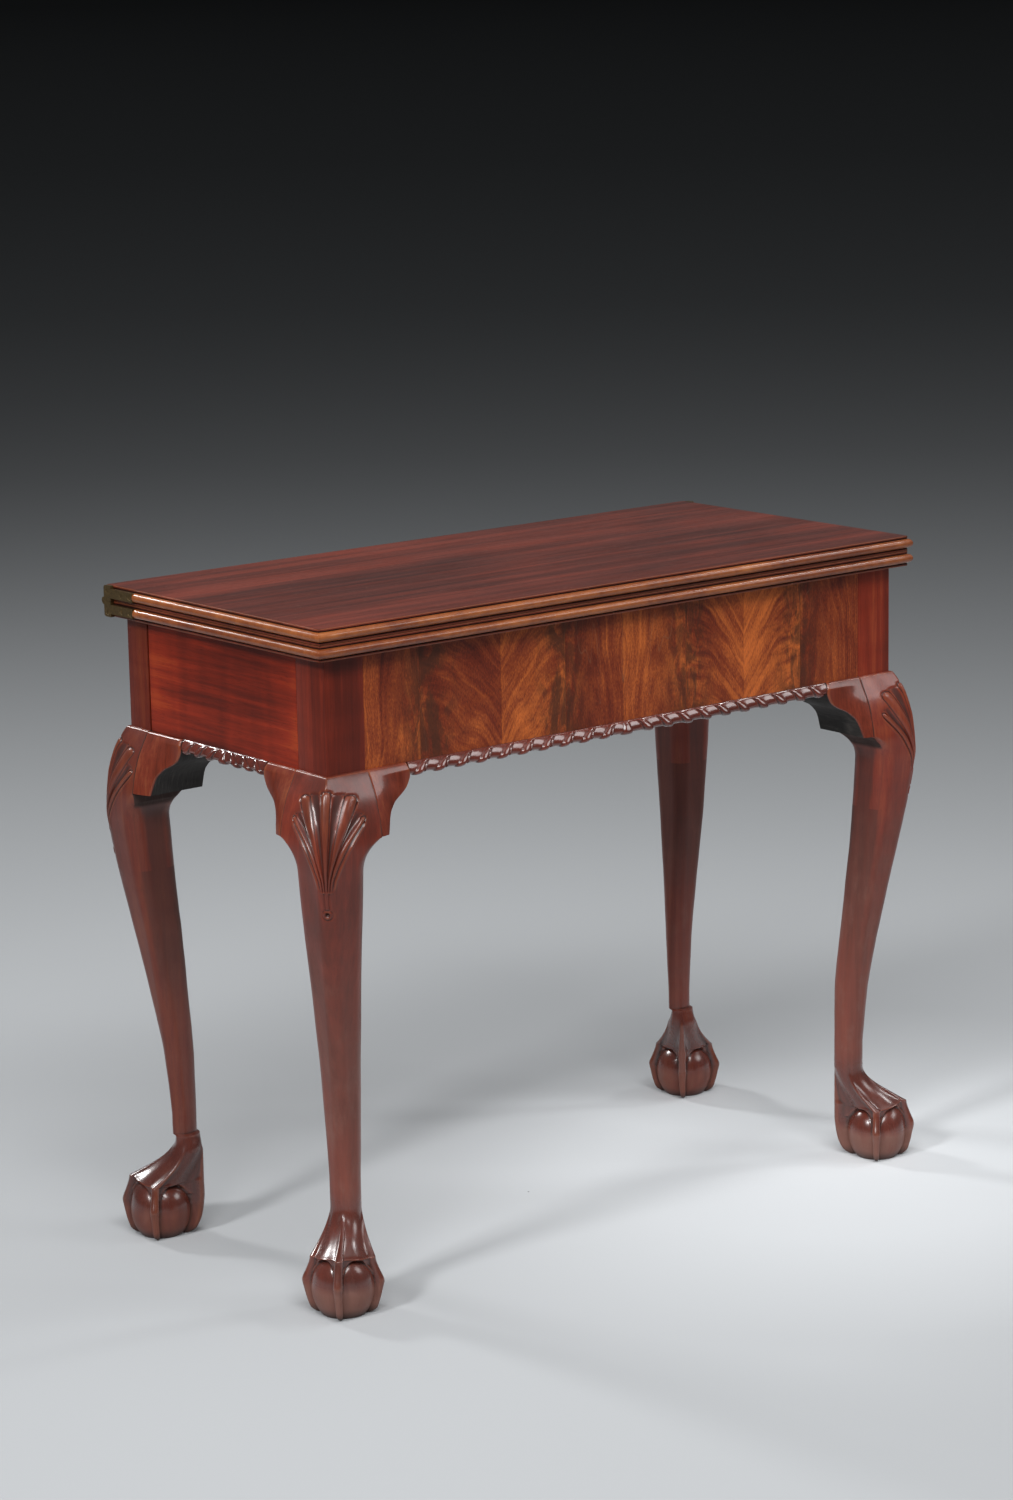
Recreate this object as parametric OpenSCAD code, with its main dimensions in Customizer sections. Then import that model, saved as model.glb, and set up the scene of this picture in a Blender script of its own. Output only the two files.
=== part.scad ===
// Folding card table with four cabriole legs. One rear leg swings out on a knuckle joint
// and carries the upper leaf when it is opened. Millimetres, +Z up, front towards -Y.
// The origin is on the floor, under the middle of the frame.

/* [Table] */
// Height of the closed table
table_h = 711; // [640:1:760]
// Length of the frame over the posts
frame_w = 775; // [640:1:940]
// Depth of the frame over the posts
frame_d = 345; // [320:1:460]
// Height of the rails
rail_h = 118; // [90:1:150]
// Thickness of the rails
rail_t = 22; // [18:1:26]
// Thickness of the veneer sheets on the front rail
veneer_t = 1; // [0.6:0.1:2]
// Number of veneer sheets along the front rail
veneer_sheets = 8; // [4:1:12]

/* [Leaves] */
// Thickness of each leaf
leaf_t = 16.4; // [14:0.2:22]
// How far the leaves reach past the ends of the frame
leaf_over_end = 20.5; // [12:0.5:40]
// How far the leaves reach past the front of the frame
leaf_over_front = 19; // [12:0.5:40]
// How far the leaves reach past the back of the frame
leaf_over_back = 11; // [6:0.5:14]
// Gap between the closed leaves
leaf_gap = 0.3; // [0.2:0.05:0.6]
// Radius of the bead on the edge of a leaf
bead_r = 4.9; // [3.5:0.1:5.8]
// Height of the flat fillet above and below the bead
fillet_h = 2.3; // [1.6:0.1:2.4]
// How far the fillets stand back from the bead
fillet_set = 4.5; // [3:0.1:4.8]

/* [Legs] */
// Width of a front post, and width along the rails of a rear post
post_w = 47.5; // [42:0.5:56]
// Depth of a rear post
rear_post_d = 36; // [33:0.5:46]
// How far the middle of a foot lies inside the outer faces of the frame
foot_inset = 8.7; // [4:0.1:16]
// How far the knee stands out past the post
knee_out = 25.8; // [18:0.2:32]
// Height of the knee's widest place under the rails
knee_drop = 80; // [70:1:90]
// Half the thickness of the leg just under the knee
knee_half = 28.4; // [25:0.2:31]
// Radius of the ankle
ankle_r = 16; // [13:0.2:20]
// Height of the ankle's thinnest place
ankle_z = 135; // [125:1:160]
// How far the ankle lies inside the middle of the foot, along the diagonal
ankle_in = 31.9; // [24:0.1:36]
// Radius of the ball in the foot
ball_r = 33; // [28:0.5:37]
// Height of the ball
ball_h = 63; // [56:1:68]
// Radius of a claw
claw_r = 5; // [4:0.1:6]
// Depth of the flutes of the carved fan
fan_depth = 1.8; // [0.6:0.1:2.6]

/* [Knee blocks and gadroons] */
// Height of the knee blocks
block_h = 64; // [56:1:70]
// Distance from the frame's corner to the far end of a knee block
block_reach = 97; // [90:1:106]
// Height of the gadrooned strips
gadroon_h = 14.5; // [11:0.5:18]
// How far the lobes stand out past the rails
gadroon_out = 8; // [5:0.5:11]
// Number of lobes along the front, an odd number
front_lobes = 21; // [15:2:27]
// Number of lobes along an end, an odd number
end_lobes = 7; // [5:2:9]
// Lean of the lobes, in degrees
lobe_lean = 26; // [10:1:32]
// Radius of the ribs between the lobes
rib_r = 1.8; // [1.2:0.1:2.4]
// How far the middle of a rib lies behind the front of the lobes
rib_back = 4; // [2.5:0.1:4.5]
// How far a rib reaches down past the middle of the strip
rib_drop = 6; // [4:0.1:7]
// How far a rib reaches up past the middle of the strip, before the rail cuts it off
rib_rise = 16; // [14:0.5:20]

/* [Knuckle joint] */
// Thickness of the swinging rail
fly_t = 24; // [20:0.5:26]
// Number of fingers in the knuckle, an odd number
fingers = 5; // [3:2:7]
// Radius of the knuckle's pin
pin_r = 3.5; // [2.5:0.1:5]
// Running clearance between wooden parts that pass each other
run_gap = 0.6; // [0.4:0.05:1]
// Radial clearance of a pin in its hole
pin_gap = 0.05; // [0.02:0.01:0.08]
// Gap between the swinging leg and the end rail
fly_gap = 3; // [1.5:0.1:4]
// Gap between the swinging rail and the inner back rail
rail_gap = 1.25; // [0.8:0.05:2]

/* [Hinges] */
// Thickness of the hinge plates
plate_t = 4.5; // [4:0.1:5]
// Length of a plate's arm
plate_l = 52; // [40:1:70]
// Width of a plate's root at the back edge
plate_root = 12; // [10:0.5:16]
// Radius of a hinge knuckle
eye_r = 4; // [3.2:0.1:4.6]
// Radius of a hinge pin
hinge_pin_r = 1.5; // [1.2:0.1:1.8]
// Radius of a screw's shank
screw_r = 1.6; // [1.2:0.1:2]
// Length of a screw
screw_l = 15; // [10:1:20]

/* [Joints of the frame] */
// Thickness of the tenons
tenon_t = 8; // [6:0.5:10]
// Length of the tenons
tenon_l = 20; // [14:1:26]
// Glue line around tenons and dovetails
glue = 0.1; // [0.05:0.05:0.2]
// Side of a glue block
glue_block = 20; // [14:1:26]

/* [Hidden] */

e = 0.01;
mahogany = [0.36, 0.13, 0.07];
flame = [0.62, 0.27, 0.11];
dark_wood = [0.20, 0.11, 0.08];
pine = [0.62, 0.47, 0.30];
brass = [0.50, 0.40, 0.22];
iron = [0.20, 0.19, 0.18];

fx = frame_w / 2;
fy = frame_d / 2;
// Height of the frame's top, and of the rails' lower edge, where the legs proper begin
frame_top = table_h - 2 * leaf_t - leaf_gap;
leg_h = frame_top - rail_h;
fly_top = frame_top - run_gap;

// Outer faces of the leaves
leaf_x = fx + leaf_over_end;
leaf_front = -fy - leaf_over_front;
leaf_back = fy + leaf_over_back;
upper_z = frame_top + leaf_t + leaf_gap;
// Axis of the leaf hinges, along X
hinge_y = leaf_back + leaf_gap / 2;
hinge_z = frame_top + leaf_t + leaf_gap / 2;

// Rear end of the end rails, and the knuckle's axis, along Z
post_front_y = fy - rear_post_d;
inner_back_y = post_front_y - fly_gap;
knuckle_r = fly_t / 2;
knuckle_y = inner_back_y + rail_gap + knuckle_r;
finger_h = rail_h / fingers;

// Faces of a post, counted from the middle of its foot
post_out = foot_inset;
post_in = post_w - foot_inset;
rear_in = rear_post_d - foot_inset;

// Tenons stand this far behind the rail's outer face, and stay this far from its edges
tenon_back = (rail_t - tenon_t) / 2;
tenon_edge = 14;
front_tenon_l = min(28, post_w - tenon_back - tenon_t - 4);

// A smooth curve through points [place, value], lowest place first
function span(z, p, i = 0) = i >= len(p) - 2 || z < p[i + 1][0] ? i : span(z, p, i + 1);
function slope(p, i) =
    let (a = max(i - 1, 0), b = min(i + 1, len(p) - 1))
    (p[b][1] - p[a][1]) / (p[b][0] - p[a][0]);
function curve(z, p) =
    let (i = span(z, p), h = p[i + 1][0] - p[i][0], t = min(1, max(0, (z - p[i][0]) / h)))
    (2 * t ^ 3 - 3 * t ^ 2 + 1) * p[i][1] + (3 * t ^ 2 - 2 * t ^ 3) * p[i + 1][1]
    + h * ((t ^ 3 - 2 * t ^ 2 + t) * slope(p, i) + (t ^ 3 - t ^ 2) * slope(p, i + 1));

// The leg from the ankle to the knee: s is 0 at the ankle and 1 at the bottom of the knee.
// The first curve carries its middle outwards, the second thickens it.
knee_low = knee_drop + 10;
knee_mid = 8.8;
sway = [[0, 0], [0.11, 0.04], [0.22, 0.10], [0.37, 0.28], [0.53, 0.48], [0.69, 0.69],
    [0.85, 0.87], [1, 1]];
swell = [[0, 0], [0.22, 0.15], [0.37, 0.25], [0.53, 0.41], [0.69, 0.60], [0.85, 0.83], [1, 1]];
function shaft_s(z) = min(1, max(0, (z - ankle_z) / (leg_h - knee_low - ankle_z)));
function mid(z) = -ankle_in + (knee_mid + ankle_in) * curve(shaft_s(z), sway);
function half(z) = 0.97 * ankle_r + (knee_half - 0.97 * ankle_r) * curve(shaft_s(z), swell);

// The knee, by depth below the rails: how far it stands out past the post, as a share of
// the most, and how its inner faces run back from the post to the shaft.
out_share = [[0, 0.11], [4, 0.20], [12, 0.36], [25, 0.61], [40, 0.80], [55, 0.93],
    [70, 1], [knee_low, 1]];
in_share = [[block_h, 0], [block_h + 3, 0.14], [block_h + 9, 0.70], [block_h + 18, 0.95],
    [knee_low, 1]];
function proud(d) = knee_out * curve(min(d, knee_low), out_share);
function outer(z) =
    z > leg_h - knee_low ? foot_inset + proud(leg_h - z) : mid(z) / sqrt(2) + half(z);
function inner(z, from) =
    let (b = half(z) - mid(z) / sqrt(2), d = leg_h - z)
    d >= knee_low ? min(b, from) :
    d <= block_h ? from : min(from, post_in + (b - post_in) * curve(d, in_share));

// Corner radii of the leg's section: outward, at the sides and inward
function round_out(z) =
    z > leg_h - knee_low ? curve(leg_h - z, [[0, 0.3], [12, 2], [40, 3], [70, 6], [knee_low, 11]]) :
    half(z) * curve(shaft_s(z), [[0, 0.92], [0.25, 0.76], [0.5, 0.62], [0.85, 0.48], [1, 0.39]]);
function round_in(z) =
    leg_h - z <= block_h + 1 ? 0.05 :
    z > leg_h - knee_low ? curve(leg_h - z, [[block_h, 0.05], [block_h + 10, 9], [knee_low, 17]]) :
    half(z) * curve(shaft_s(z), [[0, 0.92], [0.25, 0.78], [0.5, 0.66], [0.85, 0.60], [1, 0.60]]);

// Distance from the middle of a rounded rectangle to its edge along the direction d
function box_edge(d, hx, hy, r) =
    let (ax = max(abs(d.x), 1e-6), ay = max(abs(d.y), 1e-6), t = min(hx / ax, hy / ay))
    ax * t <= hx - r || ay * t <= hy - r ? t :
    let (k = ax * (hx - r) + ay * (hy - r))
    k + sqrt(max(0, k ^ 2 - (hx - r) ^ 2 - (hy - r) ^ 2 + r ^ 2));

// Distance along d to the far side of a circle that lies at q and has the radius r
function disc_edge(d, q, r) =
    let (k = d * q, s = k ^ 2 - q * q + r ^ 2)
    s < 0 ? 0 : k + sqrt(s);

// The foot. Four claws lie on the diagonals: outward, at the two sides and at the heel.
// Each runs from the ankle over a knuckle to a second one and ends at the floor. The web
// between them is a star with hollow sides, and ends in a lip over the ball. Below the lip
// it stands proud of the ball outside an arch.
foot_z = 112;
lip_z = 58.5;
web_t = 1.7;
claw_dirs = [for (k = [0:3]) [cos(45 + 90 * k), sin(45 + 90 * k)]];
ankle_mid = -ankle_in * [1, 1] / sqrt(2);
ball_z = ball_h - ball_r;
claw_far = [[0, -6.5], [4.5, 1], [14, 4.6], [26, 7.6], [34, 9.2], [38, 8.2], [44, 5.4],
    [52, 2.2], [59, 0.6]];
heel_far = [[0, -4], [8, 6.5], [20, 11.5], [40, 14.6], [59, 15]];
girth = [[0, -3], [3, -2.1], [10, -1.5], [22, -1], [34, -0.3], [48, -0.6], [60, -0.2],
    [65, -1.6], [75, -2.2], [foot_z, -1]];
web = [[54, -8.8], [58.6, -7.4], [63, -10.4], [68, -12.7], [75, -14.7], [84, -16.3],
    [94, -17.3], [foot_z, -17.3]];
function rise(z, top, low, p) = min(1, max(0, (top - z) / (top - low))) ^ p;
function foot_grow(z) = rise(z, 105, 59, 1.8);
function foot_mid(z) = ankle_mid * (1 - foot_grow(z));
function claw_tip(k, z) =
    let (g = foot_grow(z))
    (1 - g) * ankle_r + g * (ball_r + curve(min(z, 59), k == 2 ? heel_far : claw_far));
function claw_girth(z) = claw_r + curve(z, girth);
function ball_edge(z) =
    let (t = z < ball_z ? (ball_z - z) / (1.36 * ball_z) : (z - ball_z) / ball_r)
    t >= 1 ? 0 : ball_r * (1 - t ^ 2.3) ^ (1 / 2.3);
function arch(z) = 34 * (1 - min(1, max(0, (z - 33) / 22)) ^ 2.4) ^ (1 / 2.4);
function off_claw(d, k) = acos(min(1, max(-1, d * claw_dirs[k])));
function star(d, z) =
    let (w = ball_r + curve(z, web))
    w + max([for (k = [0:3]) let (side = w * min(90, off_claw(d, k)) * PI / 180)
        (claw_tip(k, z) - w) * (1 + (side / 2.7) ^ 2) ^ -0.85]);
function foot_edge(d, z) =
    let (
        off = min([for (k = [0:3]) off_claw(d, k)]),
        ball = ball_edge(z),
        proud = z > 6 && 45 - off > arch(z) ? web_t : 0,
        r = claw_girth(z)
    )
    max(z > lip_z ? star(d, z) : z > 54 ? max(ball + proud, ball_r + curve(z, web)) : ball + proud,
        max([for (k = [0:3]) disc_edge(d, (claw_tip(k, z) - r) * claw_dirs[k], r)]));

// The carved fan on the outward corner of the knee. Its petals spread from one place, and
// each line of the mesh there runs along a petal's crest or along the flute beside it.
fan_low = 111;
fan_lines = [0, 5.8, 11.5, 18.5, 25.6, 31, 37];
fan_cut = [0.5, -1, 0.5, -1, 0.5, -0.6, 0];
fan_reach = [98, 96, 96, 84, 80, 72, 66];
function fan_on(z) =
    let (d = leg_h - z) min(1, max(0, min((150 - d) / 38, (d + 1) / 5)));
function fan_lift(j, z) =
    let (r = (z - leg_h + fan_low) / cos(fan_lines[j]), far = fan_reach[j])
    fan_depth * fan_cut[j] * min(1, max(0, r / 24)) * min(1, max(0, (far - r) / 4));
// How far line j of the fan lies from the knee's corner, along a face
function fan_place(j, z) =
    let (up = max(z - leg_h + fan_low, 9), far = fan_reach[j] * cos(fan_lines[j]))
    sqrt(2) * min(up, far) * tan(fan_lines[j]);

// One level of the leg has 36 points: one on each diagonal and eight between two diagonals
per = 9;
spread = [0, 0.06, 0.13, 0.24, 0.41, 0.59, 0.76, 0.87, 0.94];
function level(z, bx, by) =
    let (
        low = z < foot_z,
        ix = inner(z, bx),
        iy = inner(z, by),
        o = outer(z),
        m = low ? foot_mid(z) : [o - ix, o - iy] / 2,
        hx = (o + ix) / 2,
        hy = (o + iy) / 2,
        tips = [for (k = [0:3]) low ? claw_dirs[k] :
            [k == 0 || k == 3 ? hx : -hx, k < 2 ? hy : -hy]],
        turn = [for (k = [0:4]) let (q = tips[k % 4], t = atan2(q.y, q.x))
            (t < 0 ? t + 360 : t) + (k == 4 ? 360 : 0)],
        w = low ? 0 : fan_on(z),
        fit = min(1, 1.7 * min(hx, hy) / fan_place(6, z)),
        fan = [for (k = [0, 3]) [for (j = [0:6]) let (q = fit * fan_place(j, z))
            k == 0 ? atan2(hy, hx - q) : atan2(hy - q, hx) + 360]]
    )
    [for (i = [0:4 * per - 1])
        let (
            k = floor(i / per),
            j = i % per,
            near = k == 0 ? j : k == 3 ? per - j : per,
            plain = turn[k] + (turn[k + 1] - turn[k]) * spread[j],
            row = k == 0 ? fan[0] : fan[1],
            end = k == 0 ? turn[1] : turn[3],
            along = near <= 6 ? row[near] : row[6] + (end - row[6]) * (near - 6) / 3,
            t = (k == 0 || k == 3) && w > 0 ? plain + (along - plain) * w : plain,
            d = [cos(t), sin(t)],
            r = d.x > 0 && d.y > 0 ? round_out(z) : round_in(z),
            lift = near <= 6 && w > 0 ? fan_lift(near, z) : 0,
            dist = low ? foot_edge(d, z) : box_edge(d, hx, hy, r) + lift
        )
        [m.x + d.x * dist, m.y + d.y * dist, z]];

// Heights of the levels: the foot from the floor, the knee from the rails, and the shaft
// shared out between them
foot_levels = [0, 2, 5, 10, 17, 25, 30, 34, 38, 44, 50, 55, 58, 59.5, 63, 69, 77, 87, 99];
knee_levels = [112, 104, 96, 88, 80, 74, 69, 65, 63, 52, 40, 30, 22, 16, 13, 8, 4, 1, 0];
shaft_levels = 8;
levels = concat(
    foot_levels,
    [for (i = [0:shaft_levels]) foot_z + (leg_h - 130 - foot_z) * i / shaft_levels],
    [for (d = knee_levels) leg_h - d]);

// The leg proper, up to the rails' lower edge. Its outward corner points to +X +Y.
module leg(bx, by) {
    rings = [for (z = levels) level(z, bx, by)];
    n = 4 * per;
    last = len(rings) - 1;
    hub = n * len(rings);
    polyhedron(
        points = concat([for (r = rings) each r], [[0, 0, 0], [0, 0, leg_h]]),
        faces = concat(
            [for (i = [0:n - 1]) [hub, i, (i + 1) % n]],
            [for (i = [0:n - 1]) [hub + 1, last * n + (i + 1) % n, last * n + i]],
            [for (j = [0:last - 1], i = [0:n - 1]) let (k = (i + 1) % n)
                [j * n + i, (j + 1) * n + i, (j + 1) * n + k]],
            [for (j = [0:last - 1], i = [0:n - 1]) let (k = (i + 1) % n)
                [j * n + i, (j + 1) * n + k, j * n + k]]),
        convexity = 6);
}

// A box between two corners
module box(a, b) {
    translate(a) cube(b - a);
}

// The children, and their mirror image across X = 0
module both_ends() {
    children();
    mirror([1, 0, 0]) children();
}

// A tenon on a rail, grown by g for its mortise. Corner a to corner b, in the plane of the rail.
module tenon(a, b, g = 0) {
    box(a - [g, g, g], b + [g, g, g]);
}

// Tenons in the posts: front rail, end rails, hinge rail or swinging rail
tenon_z = [leg_h + tenon_edge, frame_top - tenon_edge];
module front_tenon(g = 0) {
    y = -fy + tenon_back;
    tenon([fx - post_w - e, y, tenon_z[0]], [fx - post_w + front_tenon_l, y + tenon_t, tenon_z[1]], g);
}
module end_front_tenon(g = 0) {
    x = fx - tenon_back;
    tenon([x - tenon_t, -fy + post_w - tenon_l, tenon_z[0]], [x, -fy + post_w + e, tenon_z[1]], g);
}
module end_back_tenon(g = 0) {
    x = fx - tenon_back;
    tenon([x - tenon_t, post_front_y - e, tenon_z[0]], [x, post_front_y + tenon_l, tenon_z[1]], g);
}
module back_tenon(g = 0) {
    y = knuckle_y - tenon_t / 2;
    tenon([fx - post_w - e, y, tenon_z[0]], [fx - post_w + tenon_l, y + tenon_t, tenon_z[1]], g);
}

module front_left_leg() {
    color(mahogany) {
        translate([-fx + foot_inset, -fy + foot_inset, 0]) rotate(180) leg(post_in, post_in);
        mirror([1, 0, 0]) front_post();
    }
}

module front_right_leg() {
    color(mahogany) {
        translate([fx - foot_inset, -fy + foot_inset, 0]) rotate(-90) leg(post_in, post_in);
        front_post();
    }
}

module rear_right_leg() {
    color(mahogany) {
        translate([fx - foot_inset, fy - foot_inset, 0]) leg(post_in, rear_in);
        difference() {
            box([fx - post_w, post_front_y, leg_h], [fx, fy, frame_top]);
            end_back_tenon(glue);
            back_tenon(glue);
        }
    }
}

module fly_leg() {
    color(mahogany) {
        translate([-fx + foot_inset, fy - foot_inset, 0]) rotate(90) leg(rear_in, post_in);
        mirror([1, 0, 0]) difference() {
            box([fx - post_w, post_front_y, leg_h], [fx, fy, fly_top]);
            back_tenon(glue);
        }
    }
}

// The post of the front right leg, with its mortises
module front_post() {
    difference() {
        box([fx - post_w, -fy, leg_h], [fx, -fy + post_w, frame_top]);
        front_tenon(glue);
        end_front_tenon(glue);
    }
}

// A knee block in its own place: X runs along the rail from the post's inner face, Y points
// out of the rail's face and Z is 0 at the rail's lower edge. reach is the block's length.
block_side = [for (d = [0, 2, 4, 8, 12, 18, 25, 32, 40, 48, 56, block_h]) [proud(d), -d]];
module knee_block(reach, back, drop = 0) {
    outline = [[0, -drop], [reach, -drop], [reach + 1.5, -7], [reach + 2, -13], [reach - 1, -20],
        [reach - 5, -25], [reach - 12, -29.5], [reach - 21, -34], [reach - 27, -39],
        [reach - 31, -43.5], [reach - 34, -50], [reach - 36, -57], [reach - 38, -block_h],
        [0, -block_h]];
    plan = [[0, -back], [0, knee_out + 1], [0.16 * reach, knee_out - 1.5],
        [0.36 * reach, knee_out - 5.5], [0.56 * reach, knee_out - 10.5],
        [0.76 * reach, knee_out - 15], [0.92 * reach, knee_out - 18],
        [reach + 3, knee_out - 19.5], [reach + 3, -back]];
    intersection() {
        rotate([90, 0, 0]) translate([0, 0, -knee_out - 2]) linear_extrude(back + knee_out + 2)
            polygon(outline);
        rotate([90, 0, 90]) linear_extrude(reach + 3)
            polygon(concat([[-back, -block_h], [-back, 1]], [[block_side[0].x, 1]], block_side));
        translate([0, 0, -block_h - 1]) linear_extrude(block_h + 2) polygon(plan);
    }
}

block_l = block_reach - post_w;
rear_block_l = block_reach - rear_post_d;
module front_block_shape() {
    color(mahogany) translate([fx - post_w, -fy, leg_h]) mirror([1, 0, 0]) mirror([0, 1, 0])
        knee_block(block_l, post_w);
}
module end_block_shape() {
    color(mahogany) translate([fx, -fy + post_w, leg_h]) rotate(90) mirror([0, 1, 0])
        knee_block(block_l, post_w);
}
module front_right_block() { front_block_shape(); }
module front_left_block() { mirror([1, 0, 0]) front_block_shape(); }
module right_front_block() { end_block_shape(); }
module left_front_block() { mirror([1, 0, 0]) end_block_shape(); }
module right_rear_block() {
    color(mahogany) translate([fx, post_front_y, leg_h]) rotate(-90)
        knee_block(rear_block_l, post_w);
}
module fly_block() {
    color(mahogany) translate([-fx, post_front_y, leg_h]) mirror([1, 0, 0]) rotate(-90)
        knee_block(rear_block_l - run_gap, post_w, run_gap);
}

// A gadrooned strip of the length l with n lobes. X runs along it from its middle, Y points
// out of the rail's face and Z is 0 at the rail's lower edge. The lobes lean to the middle.
module gadroon(l, n) {
    pitch = l / n;
    r = 0.40 * pitch;
    barrel = [[0, -11], [0.30, -10], [0.62, -7.5], [0.86, -4], [1, 0], [1, 4], [0.92, 9], [0.80, 13]];
    intersection() {
        union() {
            rotate([90, 0, 90]) translate([0, 0, -l / 2]) linear_extrude(l)
                polygon([[-rail_t + 3, 0], [-rail_t + 3, -4], [-rail_t + 8, -gadroon_h + 2],
                    [-3, -gadroon_h + 1.5], [1.5, -gadroon_h + 4.5], [3, -gadroon_h + 8], [3, 0]]);
            for (i = [0:n - 1])
                let (x = (i - (n - 1) / 2) * pitch)
                translate([x, gadroon_out - r, -gadroon_h * 0.52])
                    rotate([0, -sign(x) * lobe_lean, 0])
                    rotate_extrude($fn = 28) polygon(concat([[0, 13]],
                        [[0, -11]], [for (p = barrel) [max(p[0], 0.02) * r, p[1]]]));
            // A thin rib between two lobes, with its tapered end above the lobes' lower ends
            for (i = [0:n - 2])
                let (x = (i - (n - 2) / 2) * pitch)
                translate([x, gadroon_out - rib_back, -gadroon_h * 0.5])
                    rotate([0, -sign(x) * lobe_lean, 0]) rotate_extrude($fn = 16)
                    polygon([[0, rib_rise], [0, -rib_drop], [0.44 * rib_r, -rib_drop],
                        [0.89 * rib_r, -0.63 * rib_drop], [rib_r, 0], [rib_r, rib_rise]]);
        }
        box([-l / 2, -rail_t + 3, -gadroon_h], [l / 2, gadroon_out + 1, 0]);
    }
}

end_gadroon_mid = (post_front_y - rear_block_l - fy + post_w + block_l) / 2;
end_gadroon_l = post_front_y - rear_block_l + fy - post_w - block_l;
module front_gadroon() {
    color(mahogany) translate([0, -fy, leg_h]) mirror([0, 1, 0])
        gadroon(frame_w - 2 * block_reach - 4.2, front_lobes);
}
module right_gadroon() {
    color(mahogany) translate([fx, end_gadroon_mid, leg_h]) rotate(-90)
        gadroon(end_gadroon_l - 4.2, end_lobes);
}
module left_gadroon() {
    mirror([1, 0, 0]) right_gadroon();
}

// Rails
module front_rail() {
    color(dark_wood) {
        box([-fx + post_w, -fy + veneer_t, leg_h], [fx - post_w, -fy + rail_t, frame_top]);
        both_ends() front_tenon();
    }
}

sheet_w = (frame_w - 2 * post_w) / veneer_sheets;
module front_veneer() {
    color(flame) for (i = [0:veneer_sheets - 1])
        box([-fx + post_w + sheet_w * i, -fy, leg_h],
            [-fx + post_w + sheet_w * (i + 1) - 0.05, -fy + veneer_t, frame_top]);
}

// Half-blind dovetails between the inner back rail and the end rails, as tails on the inner
// rail, grown by g for their sockets
tails = 3;
tail_l = rail_t - 7;
module dovetails(g = 0, back = 0) {
    for (i = [0:tails - 1])
        let (z = leg_h + rail_h * (i + 0.5) / tails, w = rail_h / tails * 0.26)
        translate([fx - rail_t - e, inner_back_y + back, z]) rotate([90, 0, 0])
            linear_extrude(rail_t + back + g)
            polygon([[0, -w - g], [tail_l + g, -w - 3 - g], [tail_l + g, w + 3 + g], [0, w + g]]);
}

module end_rail_body(rear) {
    difference() {
        box([fx - rail_t, -fy + post_w, leg_h], [fx, rear, frame_top]);
        dovetails(glue, fly_gap + 1);
    }
    end_front_tenon();
}
module left_end_rail() {
    color(mahogany) mirror([1, 0, 0]) end_rail_body(inner_back_y);
}
module right_end_rail() {
    color(mahogany) {
        end_rail_body(post_front_y);
        end_back_tenon();
    }
}

module inner_back_rail() {
    color(pine) {
        box([-fx + rail_t, inner_back_y - rail_t, leg_h], [fx - rail_t, inner_back_y, frame_top]);
        both_ends() dovetails();
    }
}

// The knuckle joint. Fingers of the fixed and the swinging rail lie in turn on one pin.
module finger(i, top) {
    low = leg_h + finger_h * i + (i == 0 ? 0 : run_gap / 4);
    high = min(top, leg_h + finger_h * (i + 1) - (i == fingers - 1 ? 0 : run_gap / 4));
    translate([0, knuckle_y, low]) {
        cylinder(h = high - low, r = knuckle_r, $fn = 48);
        translate([0, -knuckle_r, 0]) cube([knuckle_r + run_gap + e, fly_t, high - low]);
    }
}
module knuckle_hole() {
    translate([0, knuckle_y, leg_h - 1]) cylinder(h = rail_h + 2, r = pin_r + pin_gap, $fn = 32);
}

module hinge_rail() {
    color(dark_wood) difference() {
        union() {
            box([knuckle_r + run_gap, inner_back_y, leg_h],
                [fx - post_w, knuckle_y + knuckle_r, frame_top]);
            for (i = [0:2:fingers - 1]) finger(i, frame_top);
            back_tenon();
        }
        knuckle_hole();
    }
}

module fly_rail() {
    color(dark_wood) difference() {
        mirror([1, 0, 0]) union() {
            box([knuckle_r + run_gap, knuckle_y - knuckle_r, leg_h],
                [fx - post_w, knuckle_y + knuckle_r, fly_top]);
            for (i = [1:2:fingers - 2]) finger(i, fly_top);
            back_tenon();
        }
        knuckle_hole();
    }
}

module knuckle_pin() {
    color(iron) translate([0, knuckle_y, leg_h]) cylinder(h = fly_top - leg_h, r = pin_r, $fn = 32);
}

// Blocks glued in the corner between the lower leaf and the rails
module glue_blocks() {
    color(pine) {
        for (i = [-1:1])
            translate([i * frame_w * 0.29, 0, 0])
            box([-glue_block * 1.5, -fy + rail_t, frame_top - glue_block],
                [glue_block * 1.5, -fy + rail_t + glue_block, frame_top]);
        for (i = [-1:2:1])
            translate([i * frame_w * 0.29, 0, 0])
            box([-glue_block * 1.5, inner_back_y - rail_t - glue_block, frame_top - glue_block],
                [glue_block * 1.5, inner_back_y - rail_t, frame_top]);
        both_ends() box([fx - rail_t - glue_block, -glue_block * 1.5, frame_top - glue_block],
            [fx - rail_t, glue_block * 1.5, frame_top]);
    }
}

// The moulded edge of a leaf: a bead between two fillets, with a quirk on each side of it.
// The 2D shape lies left of X = 0, and its bottom is at Y = 0.
quirk_set = fillet_set + 1.5;
module edge_profile(back) {
    translate([-back, 0]) square([back - quirk_set, leaf_t]);
    for (y = [0, leaf_t - fillet_h])
        translate([-back, y]) square([back - fillet_set, fillet_h]);
    translate([-bead_r, leaf_t / 2]) circle(r = bead_r, $fn = 32);
}

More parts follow.
